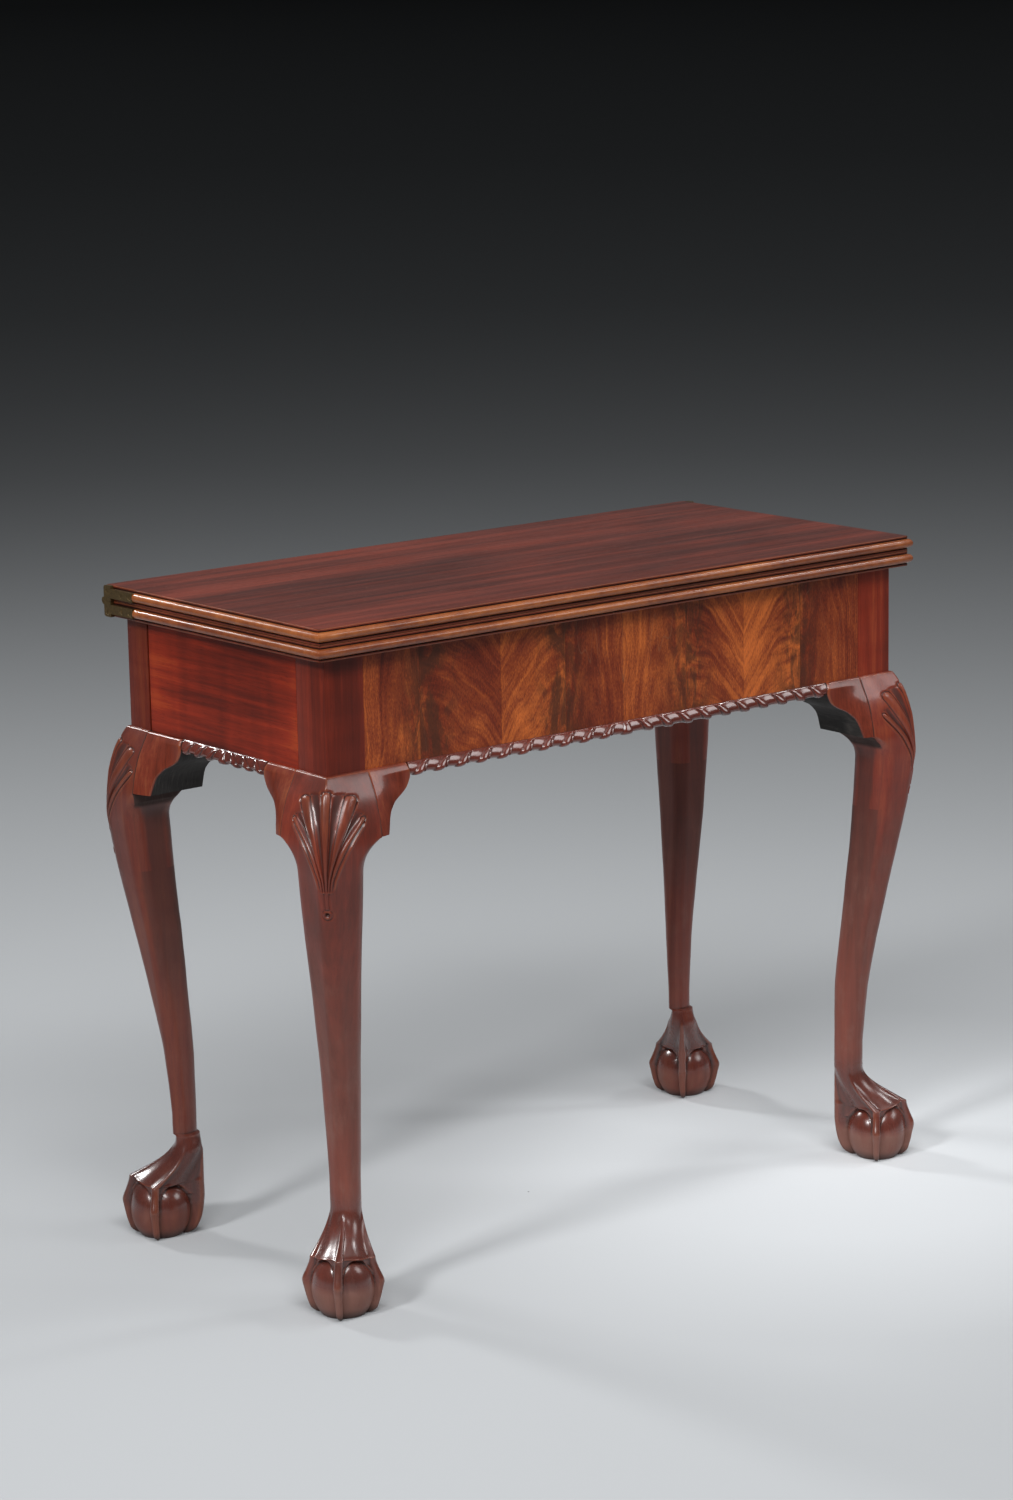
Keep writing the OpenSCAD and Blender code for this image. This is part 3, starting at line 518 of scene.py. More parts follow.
def crotch_veneer(name, gold):
    """Feathered figure on the sheets' own UV. U is 0 at a matched seam and 1 at the dark core
    of the crotch, and V is the height in units of 100 mm. Bands rise from the seam and
    flatten towards the core, and past the core the grain runs straight up."""
    material, s, place = new_material(name)
    uv = s.make("ShaderNodeUVMap", {"uv_map": "UVMap"})
    u = s.make("ShaderNodeSeparateXYZ", (), {0: uv})
    v = s.make("ShaderNodeSeparateXYZ", (), {0: uv}, output=1)
    sheet = s.field("sheet")
    light = s.field("light")

    def at(x, y):
        return s.make("ShaderNodeCombineXYZ", (), {0: x, 1: y, 2: sheet})

    sway = at(u * 1.3, v * 0.9).noise(2.0, 0.5, 0.3)
    fall = s.math("MAXIMUM", 1.0 - u, 0.0) ** 1.8
    rise = v + fall * 0.72 + (sway - 0.5) * 0.55
    feather = at(rise * 7.5, u * 1.1).noise(2.0, 0.55, 0.15)
    plume = at(rise * 19.0, u * 2.2).noise(2.0, 0.6)
    straight = at(u * 13.0, v * 0.7).noise(3.0, 0.6, 0.15)
    gnarl = at(u * 6.0, v * 2.6).noise(4.0, 0.65, 1.4)
    cloud = at(u * 1.9, v * 1.3).noise(2.0, 0.5, 0.6)
    fleck = place.times((800, 800, 260)).noise(2.0, 0.6)
    past = u.span(0.80, 1.15)
    fibre = at(rise * 60.0, u * 5.0).noise(2.0, 0.6)
    flare = u - 1.30 + (sway - 0.5) * 0.35
    tongue = at((v * -1.0 - flare * flare * 16.0) * 2.6, u * 1.5).noise(3.0, 0.55, 0.3)
    strong = sheet.span(2.6, 4.8, 0.85, 1.25)
    figure = ((feather - 0.5) * strong + (plume - 0.5) * 0.42 + (fibre - 0.5) * 0.34) \
        * (1 - past) + ((straight - 0.5) * 0.55 + (tongue - 0.5) * 0.75) * past \
        + (cloud - 0.5) * 1.0 + (fleck - 0.5) * 0.80 + light + 0.52
    base = figure.ramp((0.0, (0.070, 0.009, 0.004)), (0.28, (0.150, 0.021, 0.007)),
                       (0.52, (0.255, 0.048, 0.012)), (0.78, rgb(gold)), (1.0, rgb(gold, 1.3)))
    off = (u - 1.0 + (gnarl - 0.5) * 0.95) / 0.25
    core = 1.0 / (1.0 + (off * off) ** 1.5) * gnarl.span(0.34, 0.60)
    base = base.mix((0.052, 0.018, 0.008), core * 0.78)
    split = at(u * 2.1 + 3.0, v * 0.22).noise(2.0, 0.5, 0.3)
    split = s.math("ABSOLUTE", split - 0.5).span(0.0025, 0.0) * u.span(0.4, 0.9)
    base = base.mix((0.20, 0.10, 0.055), split * 0.35)
    pore = place.times((1300, 1300, 160)).noise(1.0, 0.5).span(0.60, 0.72)
    base = base.mix((0.030, 0.010, 0.006), pore * 0.30)
    wear = s.field("wear")
    base = base.mix((0.012, 0.005, 0.003), (wear * -1.0).span(0.05, 0.4) * 0.85)
    height = cloud * 0.7 + gnarl * 0.3 - pore * 0.1 - split * 0.3
    close_material(s, Base_Color=base, Roughness=0.30 + cloud * 0.12 + pore * 0.1,
                   Normal=height.bump(0.30, 0.0008), IOR=1.34, Coat_Weight=0.06,
                   Coat_Roughness=0.14)
    return material


def aged_brass(name, colour):
    """Brass gone brown: patches of tarnish over metal, rubbed brighter here and there."""
    material, s, place = new_material(name)
    patch = place.times((240, 240, 240)).noise(4.0, 0.65)
    pits = place.times((1500, 1500, 1500)).noise(2.0, 0.6)
    base = (patch * 0.8 + pits * 0.2).ramp(
        (0.30, rgb(colour, 0.22)), (0.48, rgb(colour, 0.62)), (0.64, colour),
        (0.85, rgb(colour, 2.0)))
    close_material(s, Base_Color=base, Metallic=patch.span(0.2, 0.6, 0.65, 0.95),
                   Roughness=0.62 - patch * 0.35, Normal=pits.bump(0.5, 0.0003))
    return material


def dark_iron(name):
    """Iron with brown spots of rust."""
    material, s, place = new_material(name)
    rust = place.times((300, 300, 160)).noise(4.0, 0.7)
    base = rust.ramp((0.35, (0.035, 0.033, 0.032)), (0.60, (0.060, 0.040, 0.030)),
                     (0.80, (0.130, 0.055, 0.028)))
    close_material(s, Base_Color=base, Metallic=1.0 - rust.span(0.45, 0.7),
                   Roughness=rust * 0.4 + 0.35, Normal=rust.bump(0.5, 0.0003))
    return material


# ---------------------------------------------------------------- the cabriole leg
KNEE_DROP, BLOCK_H, KNEE_HALF, KNEE_MID = 80, 64, 28.4, 8.8
ANKLE_Z, ANKLE_IN, FOOT_Z, BALL_Z = 135, 31.9, 112, 30
KNEE_LOW = KNEE_DROP + 10
# Where levels of the leg begin and how many follow: foot, lip, knuckles and ankle, shaft. Over
# these come the knee's, spread over its height and a little closer together low down
LEVELS = [(0, 58), (54.6, 18), (62, 52), (118, 36)]
KNEE_ZONE, KNEE_LEVELS = 152, 232
SWAY = [(0, 0), (0.11, 0.04), (0.22, 0.10), (0.37, 0.28), (0.53, 0.48), (0.69, 0.69),
        (0.85, 0.87), (1, 1)]
SWELL = [(0, 0), (0.22, 0.15), (0.37, 0.25), (0.53, 0.41), (0.69, 0.60), (0.85, 0.83), (1, 1)]
OUT_SHARE = [(0, 0.11), (4, 0.20), (12, 0.36), (25, 0.61), (40, 0.80), (55, 0.93), (70, 1),
             (KNEE_LOW, 1)]
IN_SHARE = [(BLOCK_H, 0), (BLOCK_H + 1.5, 0.14), (BLOCK_H + 5, 0.37), (BLOCK_H + 9, 0.59),
            (BLOCK_H + 14, 0.79), (BLOCK_H + 19, 0.91), (KNEE_LOW, 1)]
# Reach of a claw from the foot's axis, of the heel's claw, a claw's own radius, and the web's
# radius between two tendons, all by height
CLAW_TIP = [(0, 26.5), (1.5, 30.2), (4.5, 34.0), (14, 37.6), (26, 40.6), (31, 41.9),
            (34, 42.3), (37, 41.6), (44, 38.4), (52, 35.2), (57, 33.9), (60, 33.6)]
HEEL_TIP = [(0, 29), (3, 35), (8, 39.5), (20, 44.5), (40, 47.6), (59, 48)]
CLAW_GIRTH = [(0, 2.0), (3, 2.9), (10, 3.5), (22, 4.0), (34, 4.8), (39, 4.6), (48, 4.4),
              (56, 4.6), (60, 4.9), (64, 3.8), (75, 3.0), (95, 2.8), (FOOT_Z, 4)]
WEB = [(54, 24.2), (57, 25.2), (58.6, 25.6), (60, 24.9), (63, 23.0), (68, 20.4), (75, 18.1),
       (84, 16.4), (94, 15.4), (104, 15.3), (FOOT_Z, 15.7)]
LIP_Z, FRONT_RISE = 58.4, 5.0
# The ball's outline is a power curve, and its lower half would reach deeper than the floor.
# Tendons swing out between two heights, from their place on the ankle, each a ridge with
# hollow sides. Over the ball stands an arch: half its angle in degrees, where it springs
# from, its height, its power, and its depth in millimetres
BALL_POWER, BALL_DEEP = 2.06, 1.36
TENDON_HIGH, TENDON_LOW, TENDON_IN, TENDON_SWING = 105, 59, 15.9, 1.8
RIDGE_WIDTH, RIDGE_POWER = 2.7, 0.85
ARCH_TURN, ARCH_FOOT, ARCH_TALL, ARCH_POWER, ARCH_DEEP = 41, 26, 31.5, 2.5, 26.5
KNEE_EDGE = 1.5  # radius of the edge under the rails
# The fan on a knee: distance from the corner's line, at five heights over the fan's neck, to
# the outer edge of its middle rib, flute, rib, flute and outer rib; then for each of the five
# how far it reaches from its root and how much its inner and its outer shoulder fall
FAN_HEIGHT, FAN_ROOT, BORDER = 111, 3.6, 4.5
FAN_AT = (0, 14, 40, 70, 98)
FAN_WIDTHS = [(0.9, 1.5, 3.0, 4.9, 6.3), (1.7, 2.8, 7.6, 13.2, 18.2),
              (3.2, 5.1, 13.4, 24.6, 33.0), (4.0, 6.0, 15.8, 32.4, 46),
              (5.8, 8.8, 20.8, 39.2, 56)]
FAN_ENDS = [(101.6, 3.2, 3.2), (98.2, 0.8, 0.8), (97.4, 1.2, 6.5), (83.0, 0.8, 0.8),
            (81.0, 1.0, 6.0)]
# How proud the ribs' upper halves stand, how far a rib's sides and its end fall, and how deep
# the edges of a flute lie and its middle under them
RIB_PROUD, RIB_SIDES, RIB_END, FLUTE_EDGE, FLUTE_DEEP = 1.1, 1.9, 1.5, 0.7, 2.7
# The edges as shares of a narrow side, and how many points of the grid lie between two edges
FAN_LIMIT = (0.20, 0.50, 0.80, 0.87, 0.93, 0.97)
FAN_POINTS = (9, 13, 18, 13, 11, 6, 14)
POINTS_OUT, POINTS_IN = sum(FAN_POINTS), 36


def knee_proud(depth, knee_out):
    """How far the knee stands out past the post at a depth under the rails."""
    return knee_out * smooth_curve(np.minimum(depth, KNEE_LOW), OUT_SHARE)


def box_reach(dx, dy, hx, hy, r):
    """Distance from the middle of a rounded rectangle to its edge along a direction: to a
    straight side, or else to the circle of its corner."""
    ax, ay = np.maximum(np.abs(dx), 1e-6), np.maximum(np.abs(dy), 1e-6)
    flat = np.minimum(hx / ax, hy / ay)
    k = ax * (hx - r) + ay * (hy - r)
    corner = k + np.sqrt(np.maximum(0, k**2 - (hx - r)**2 - (hy - r)**2 + r**2))
    return np.where((ax * flat <= hx - r) | (ay * flat <= hy - r), flat, corner)


def disc_reach(dx, dy, qx, qy, r):
    """Distance to the far side of a circle round q along a direction, or 0 past its side."""
    k = dx * qx + dy * qy
    s = k**2 - qx**2 - qy**2 + r**2
    return np.where((s < 0) | (r <= 0), 0, k + np.sqrt(np.maximum(s, 0)))


def leg_levels():
    """Heights of the leg's levels: closest together at the foot's lip and on the knee."""
    ends = [start for start, _ in LEVELS[1:]] + [LEG_H - KNEE_ZONE]
    return np.concatenate([
        *[np.linspace(start, end, count, endpoint=False)
          for (start, count), end in zip(LEVELS, ends)],
        LEG_H - KNEE_ZONE * (1 - np.linspace(0, 1, KNEE_LEVELS)**1.05)])


def leg_grid(bx, by, size):
    """The leg from the floor to the rails, its outward corner towards +X +Y. A level over the
    ankle is a rounded box whose corner radii change with height. A level of the foot is the
    largest, seen from its middle, of four claws, the ball, and a web that is a star with
    hollow sides above its lip and an arch over the ball below it."""
    z = leg_levels()[:, None]
    depth = LEG_H - z
    inset, ankle = size.foot_inset / MM, size.ankle_radius / MM
    ball, knee_out = size.ball_radius / MM, size.knee_out / MM
    post_in = POST_W - inset

    s = np.clip((z - ANKLE_Z) / (LEG_H - KNEE_LOW - ANKLE_Z), 0, 1)
    mid = -ANKLE_IN + (KNEE_MID + ANKLE_IN) * smooth_curve(s, SWAY)
    half = 0.97 * ankle + (KNEE_HALF - 0.97 * ankle) * smooth_curve(s, SWELL)
    knee = depth < KNEE_LOW
    outer = np.where(knee, inset + knee_proud(depth, knee_out)
                     - KNEE_EDGE * round_over(depth, KNEE_EDGE), mid / math.sqrt(2) + half)

    def inner(post):
        """Reach of the inner sides: the post's, or by a cove under it the shaft's."""
        free = half - mid / math.sqrt(2)
        cove = np.minimum(post, post_in + (free - post_in) * smooth_curve(depth, IN_SHARE))
        return np.where(depth >= KNEE_LOW, np.minimum(free, post),
                        np.where(depth <= BLOCK_H, post, cove))

    ix, iy = inner(bx), inner(by)
    round_out = np.where(
        knee, smooth_curve(depth, [(0, 0.5), (9, 1.4), (16, 5), (30, 12), (50, 17), (70, 18),
                                   (KNEE_LOW, 15)]),
        half * smooth_curve(s, [(0, 0.92), (0.25, 0.76), (0.5, 0.64), (0.85, 0.55),
                                (1, 15 / KNEE_HALF)]))
    round_in = np.where(
        knee, np.where(depth <= BLOCK_H + 1, 0.4, smooth_curve(
            depth, [(BLOCK_H, 0.4), (BLOCK_H + 10, 9), (KNEE_LOW, 17)])),
        half * smooth_curve(s, [(0, 0.92), (0.25, 0.78), (0.5, 0.66), (0.85, 0.60), (1, 0.60)]))

    # The foot: tendons swing out from the ankle to knuckles that stand round the ball
    low = z < FOOT_Z
    grow = np.clip((TENDON_HIGH - z) / (TENDON_HIGH - TENDON_LOW), 0, 1)**TENDON_SWING
    foot_mid = -ANKLE_IN / math.sqrt(2) * (1 - grow)
    mx, my = (np.where(low, foot_mid, (outer - side) / 2) for side in (ix, iy))
    hx, hy = (outer + ix) / 2, (outer + iy) / 2
    t = np.where(z < BALL_Z, (BALL_Z - z) / (BALL_DEEP * BALL_Z), (z - BALL_Z) / ball)
    ball_r = ball * np.maximum(1 - np.clip(t, 0, 1)**BALL_POWER, 0)**(1 / BALL_POWER)
    toes = [(math.pi * (0.25 + k / 2), HEEL_TIP if k == 2 else CLAW_TIP) for k in range(4)]
    tips = [np.where(z < TENDON_LOW, smooth_curve(np.minimum(z, TENDON_LOW), table),
                     (1 - grow) * TENDON_IN + grow * table[-1][1]) for _, table in toes]
    girth = smooth_curve(z, CLAW_GIRTH)
    web = smooth_curve(np.maximum(z, 54), WEB)
    lip_web = smooth_curve(np.array(LIP_Z), WEB)

    def ridge(off, radius):
        """How far a tendon has fallen away at an angle off its crest: 1 and more."""
        return (1 + (off * radius / RIDGE_WIDTH)**2)**RIDGE_POWER

    def reach(dx, dy):
        """Distance from each level's middle to the surface."""
        angle = np.arctan2(dy, dx)
        claw, star, lip = 0, 0, 0
        for (way, table), tip in zip(toes, tips):
            cx, cy = math.cos(way), math.sin(way)
            out = tip - girth
            claw = np.maximum(claw, disc_reach(dx, dy, cx * out, cy * out, girth))
            off = np.minimum(np.arccos(np.clip(dx * cx + dy * cy, -1, 1)), np.pi / 2)
            star = soft_max(star, (tip - web) / ridge(off, web), 1.0)
            lip = soft_max(lip, (table[-1][1] - lip_web) / ridge(off, lip_web), 1.0)
        from_middle = 45 - np.degrees(np.abs(np.mod(angle, np.pi / 2) - np.pi / 4))
        # The arch over the ball: how far a point lies inside its outline
        arch = (from_middle / ARCH_TURN)**ARCH_POWER \
            + (np.maximum(z - ARCH_FOOT, 0) / ARCH_TALL)**ARCH_POWER
        gap = (1 - arch**(1 / ARCH_POWER)) * ARCH_DEEP
        wall = np.maximum(ball_r + 1.6, np.where(z > 45, lip_web + lip - 0.6, 0))
        under = ball_r - 0.5 * bell(gap - 0.9, 0.7) + (wall - ball_r) * ease(-gap, -0.8, 0.8)
        under = np.where(z > 6, under, ball_r)
        foot = under + (web + star - under) * ease(z - LIP_Z, -0.45, 0.45)
        foot = foot + 0.4 * bell(z - LIP_Z - 1.0, 1.0) * ease(-star, -9, -3)
        foot = np.maximum(foot, claw)
        outward = (dx > 0) & (dy > 0)
        box = box_reach(dx, dy, hx, hy, np.where(outward, round_out, round_in))
        return box + (foot - box) * np.where(low, ease(-z, -FOOT_Z, -93), 0)

    # Directions of the four corners, then points spaced out between them
    up = FAN_HEIGHT - depth[:, 0]
    follow = ease(up, -75, -34)[:, None]
    corners = [(np.where(low, sx, sx * hx), np.where(low, sy, sy * hy))
               for sx, sy in ((1, 1), (-1, 1), (-1, -1), (1, -1))]
    turn = [np.mod(np.arctan2(cy, cx), 2 * np.pi) for cx, cy in corners]
    turn.append(turn[0] + 2 * np.pi)
    sides = []
    for k, count in enumerate((POINTS_OUT, POINTS_IN, POINTS_IN, POINTS_OUT)):
        angle = turn[k] + (turn[k + 1] - turn[k]) * np.linspace(0, 1, 420)
        dx, dy = np.cos(angle), np.sin(angle)
        r = reach(dx, dy)
        x, y = mx + dx * r, my + dy * r
        step = np.hypot(np.diff(x, axis=1), np.diff(y, axis=1))
        length = np.hstack([np.zeros((len(z), 1)), np.cumsum(step, axis=1)])
        share = np.linspace(0, 1, count, endpoint=False)
        want = share * length[:, -1:]
        if k in (0, 3):
            # On the knee the points follow the edges of the fan's ribs and flutes
            across = np.abs(x - y) / math.sqrt(2)
            spread = fan_edges(up, across.max(1))
            cuts = np.cumsum(FAN_POINTS) / count
            cuts[:-1] -= 0.5 / count
            for row in np.flatnonzero(follow[:, 0] > 0):
                way = 1 if k == 0 else -1
                place = np.interp(share if k == 0 else 1 - share, np.append(0, cuts),
                                  np.concatenate([[0], spread[row], [across[row].max()]]))
                at = np.interp(place, across[row][::way], length[row][::way])
                want[row] += (at - want[row]) * follow[row]
        sides.append(np.stack([[np.interp(*row) for row in zip(want, length, v)]
                               for v in (x, y)], -1))
    ring = np.concatenate(sides, axis=1)
    # The turn from the knee to the shaft is eased over a few levels
    blur = np.hanning(37) / np.hanning(37).sum()
    eased = np.apply_along_axis(np.convolve, 0, ring, blur, "same")
    ring = ring + (eased - ring) * bell(depth - KNEE_LOW, 10)[..., None]
    # The lip, the knuckles and the arches rise towards the outward claw
    way = np.arctan2(ring[..., 1] - my, ring[..., 0] - mx) - np.pi / 4
    rise = FRONT_RISE * np.clip(np.cos(way), 0, 1)**2 * ease(z, 8, 55) * (1 - ease(z, 64, 102))
    return np.concatenate([ring, (z + rise)[..., None]], -1)


def fan_edge(k, up):
    """Distance from the corner's line to the outer edge of a rib or flute of the fan."""
    return smooth_curve(np.clip(up, 0, FAN_AT[-1]), list(zip(FAN_AT, FAN_WIDTHS[k])))


def fan_edges(up, side):
    """Distances from the corner's line to the edges of the fan's ribs and flutes at a height
    over its neck, with a border beyond, all kept inside a side that reaches so far."""
    edge = [fan_edge(k, up) for k in range(len(FAN_WIDTHS))]
    edge.append(edge[-1] + BORDER)
    return np.stack([np.minimum(e, side * limit) for e, limit in zip(edge, FAN_LIMIT)], -1)


def fan_carving(g, size):
    """How far the carved fan moves each point of a leg's grid along its normal, and its painted
    shading: a painted highlight on the ribs' crests, and painted shade at their edges, in the
    flutes and in the ring's hole. Five ribs and four flutes spread from a neck low on the knee.
    Across a rib the height is a rounded arch, across a flute a parabola sunk between two sharp
    edges, and both roll off at their ends. A groove and a bead border them, and a stem and a
    ring hang under them."""
    across = np.abs(g[..., 0] - g[..., 1]) / math.sqrt(2)
    up = g[..., 2] - (LEG_H - FAN_HEIGHT)
    front = (g[..., 0] + g[..., 1] > -14) & (up > -40)
    r = np.hypot(across, up + FAN_ROOT)
    scale = np.clip(r / 50, 0, 1)**0.75 * size.fan_depth / MM / FAN_DEPTH
    proud = RIB_PROUD * ease(up, 44, 66)
    lift, painted_shading, lower = np.zeros_like(up), np.zeros_like(up), 0
    for k, (end, fall_in, fall_out) in enumerate(FAN_ENDS):
        upper = fan_edge(k, up)
        t = across / upper if k == 0 else (2 * across - lower - upper) / (upper - lower)
        t = np.clip(t, -1, 1)
        shoulder = 1 - np.sqrt(1 - t * t)
        brink = end - np.where(t < 0, fall_in, fall_out) * shoulder - r
        if k % 2 == 0:
            height = (proud * (1 - np.abs(t)**3) - RIB_SIDES * np.abs(t)**2.6
                      - RIB_END * round_over(brink, 4.0)) * scale
            # Painted highlight along a rib's crest and painted shade at its edges
            colour = 0.26 * (1 - np.abs(t)**3) - 0.9 * np.abs(t)**9
        else:
            high = np.clip(1 - brink / 16, 0, 1)
            height = (-FLUTE_EDGE - FLUTE_DEEP * (1 - t**2)) * (1 - 0.75 * high**1.5) * scale
            # Painted shade in a flute
            colour = -0.32 * (1 - t**2) - 0.05
        past = ease(brink, -0.6, 0.6) * ease(up, -1.5, 1.5)
        ground = -0.8 * bell(brink, 1.5) * scale
        here = front & (across >= lower) & (across < upper) & (up > -2)
        lift = np.where(here, ground + (height - ground) * past, lift)
        painted_shading = np.where(here, colour * past, painted_shading)
        lower = upper
    beyond = across - lower
    border = (-1.1 * bell(beyond - 0.6, 0.7) + 0.5 * bell(beyond - 2.4, 1.0)) \
        * ease(up, 0, 8) * (1 - ease(r, 72, 79)) * (beyond >= 0)
    lift = lift + border * front
    # The neck's collar, then the stem and the ring
    fade = ease(up, -19.5, -18) * ease(-up, 0.5, 2)
    stem = bell(across, 1.5) * 0.5 - 0.9 * bell(across - 2.6, 0.9)
    collar = bell(up + 0.2, 1.5) * ease(-across, -7.5, -5.5)
    ring = np.hypot(across, up + 24.0)
    pendant = 0.6 * bell(ring - 3.4, 1.0) - 2.6 * bell(ring, 1.8) \
        - 0.6 * bell(ring - 5.6, 0.8)
    lift = lift + (stem * fade + 0.4 * collar + pendant) * front
    # Painted shade in the ring's hole
    painted_shading = painted_shading - 1.4 * bell(ring, 1.7) * front
    return lift, painted_shading


def post_grid(x0, x1, y0, y1, z0, z1, soft=0.5):
    """An upright square post with softened edges: a rounded rectangle carried up in Z."""
    quarter = np.arange(4)[:, None] * np.pi / 2
    turn = (quarter + np.linspace(0, np.pi / 2, 4)).ravel()
    x = np.repeat([x1 - soft, x0 + soft, x0 + soft, x1 - soft], 4) + soft * np.cos(turn)
    y = np.repeat([y1 - soft, y1 - soft, y0 + soft, y0 + soft], 4) + soft * np.sin(turn)
    return xyz(x, y, np.linspace(z0, z1, 12)[:, None])


def make_leg(name, body, corner, post_y, material, size, top=None):
    """A whole leg at one of the four corners. corner is the outward direction in X and Y."""
    inset = size.foot_inset / MM
    back = corner[1] > 0
    bx, by = POST_W - inset, (REAR_D if back else POST_W) - inset
    g = leg_grid(bx, by, size)
    lift, painted_shading = fan_carving(g, size)
    normal = grid_normals(g, True)
    wave = 0.16 * ripple(g, 7 + int(corner[0]) + 3 * int(corner[1]), 34)
    free = ease(g[..., 2], 0, 6) * ease(LEG_H - g[..., 2], 0, 8)
    g = g + normal * (lift + wave * free)[..., None]
    g[..., 2] = np.clip(g[..., 2], 0, LEG_H)
    depth = LEG_H - g[..., 2]
    # The carved fan's painted highlight and shade are added to the wear and shading of the leg's
    # shape
    wear = np.clip(wear_of(g, True, 2, 0.38) + painted_shading, -1, 0.66) * (g[..., 2] > 0.5)
    # Where the knee blocks are glued on, the joint is a dark line and not a worn edge
    side = np.minimum(g[..., 0] + bx, g[..., 1] + by)
    joint = ease(depth, 1.5, 4) * (depth < BLOCK_H + 2)
    wear = np.clip(wear - 1.3 * joint * bell(side, 1.1), -1, 1)
    # Sawn, unfinished faces: the top's inner sides and the cove under them
    inside = ease(-np.minimum(g[..., 0], g[..., 1]), 2, 7)
    flat = np.maximum(-normal[..., 0], -normal[..., 1])
    raw = inside * ease(flat, 0.5, 0.75) * ease(-depth, -94, -68)
    # The shaft's inner sides are dull and darkened with painted shade from the table over them,
    # fading out towards the ankle
    painted_shade = ease(flat, 0.30, 0.80) * ease(g[..., 2], 190, 330) * ease(depth, 60, 90)
    wear = np.clip(wear - 0.45 * painted_shade, -1, 1)
    low = g[..., 2] < 9
    raw = np.maximum(raw * 0.95, 0.30 * low * ease(-g[..., 2], -9, -1))
    sx, sy = corner
    skin = Skin().grid(g * (sx, sy, 1) + (sx * (FRAME_X - inset), sy * (FRAME_Y - inset), 0),
                       wrap=True, caps=True, wear=wear, raw=raw)
    x = sorted((sx * FRAME_X, sx * (FRAME_X - POST_W)))
    y = sorted((sy * FRAME_Y, sy * (FRAME_Y - post_y)))
    skin.grid(post_grid(*x, *y, LEG_H - 0.5, top or FRAME_TOP), wrap=True, caps=True)
    return skin.build(name + "_carved", body, "mahogany", material, (name,))


# ---------------------------------------------------------------- knee blocks
BLOCK_EDGE, BLOCK_END = 1.3, 6.4  # radius of a block's far edge, and its thickness there


def block_outline(d, reach):
    """Length of a knee block at a depth under the rail: full at the rail, then an ogee in to
    the leg."""
    return smooth_curve(d, [(0, reach), (7, reach + 1.5), (13, reach + 2), (20, reach - 1),
                            (25, reach - 5), (29.5, reach - 12), (34, reach - 21),
                            (39, reach - 27), (43.5, reach - 31), (50, reach - 34),
                            (57, reach - 36), (BLOCK_H, reach - 38)])


def block_shell(reach, knee_out, drop):
    """A knee block: X along the rail, Y out of its face, Z down as a depth. Its front is the
    knee's own swell at the post, and dies to a thin end at the gadroon. A sawn side, back and
    face to the post close it."""
    d = np.concatenate([np.linspace(drop, 3, 6, endpoint=False),
                        np.linspace(3, BLOCK_H, 66)])[:, None]
    far = block_outline(d, reach)
    start = knee_proud(d, knee_out) - KNEE_EDGE * round_over(d - drop, KNEE_EDGE)
    end = np.minimum(start, BLOCK_END + 0.02 * d)
    x = far * np.concatenate([[0.0, 0.004], np.linspace(0.02, 1, 44)])
    t = np.clip(x / reach, 0, 1)
    y = end + (start - end) * (1 - 0.30 * t - 0.70 * ease(t, 0.0, 1.05)**0.9)
    y = y - BLOCK_EDGE * round_over(far - x, BLOCK_EDGE) - 0.35 * (x < 0.3)
    front = xyz(x, y, -d)
    first, last = y[:, :1], y[:, -1:]
    side = last - (POST_W + last) * np.concatenate([[0.012], np.linspace(0.1, 1, 7)])
    post = (first + POST_W) * np.linspace(0.1, 0.97, 6) - POST_W
    g = np.concatenate([front, xyz(far, side, -d),
                        xyz(far * np.linspace(0.8, 0, 5), -POST_W, -d), xyz(0.0, post, -d)], 1)
    shown = x.shape[1]
    raw, wear = np.zeros((2, *g.shape[:2]))
    raw[:, shown:] = 1.0
    wear[:, :shown] = wear_of(front, False, 2, 0.5)
    wear[:, 0] = -0.8
    return g, raw, wear


def set_at(g, origin, along, out):
    """A grid with X along a rail, Y out of it and Z up, turned and set in its place."""
    return g @ np.array([along, out, (0, 0, 1)], float) + np.array(origin, float)


def make_block(name, body, origin, along, out, reach, drop, material, size):
    """A knee block set at origin, running along one axis with its face out along another."""
    g, raw, wear = block_shell(reach, size.knee_out / MM, drop)
    skin = Skin().grid(set_at(g, origin, along, out), wrap=True, caps=True, raw=raw, wear=wear)
    return skin.build(name + "_carved", body, "mahogany", material, (name,), angle=50)


# ---------------------------------------------------------------- gadroons
# Sections across a gadroon, from under the rail round to its back: distance out of the rail
# and depth, through the crest of a lobe and through the bottom of a flute
LOBE = [(0.8, 0.3), (2.4, 1.0), (4.3, 2.8), (5.9, 5.2), (7.1, 7.7), (7.9, 10.0), (7.6, 12.0),
        (6.2, 13.6), (3.6, 14.4), (0, 14.2), (-6, 12), (-14, 4.0)]
FLUTE = [(0.8, 0.3), (1.5, 1.0), (2.7, 2.8), (3.9, 5.2), (4.7, 7.6), (4.8, 9.5), (4.1, 11.2),
         (2.6, 12.4), (0.4, 12.9), (-4, 12.4), (-8, 10.5), (-14, 4.0)]
# In shares of a pitch: half the width of a lobe at its top and how much it grows, how far off
# its side the fillet lies and how wide that is. Then how high the fillet and a flute's sides
# stand between bed and crest
LOBE_HALF, LOBE_GROWS, FILLET_OFF, FILLET_W = 0.130, 0.085, 0.060, 0.026
FILLET_PROUD, FLUTE_SIDE = 0.62, 0.16


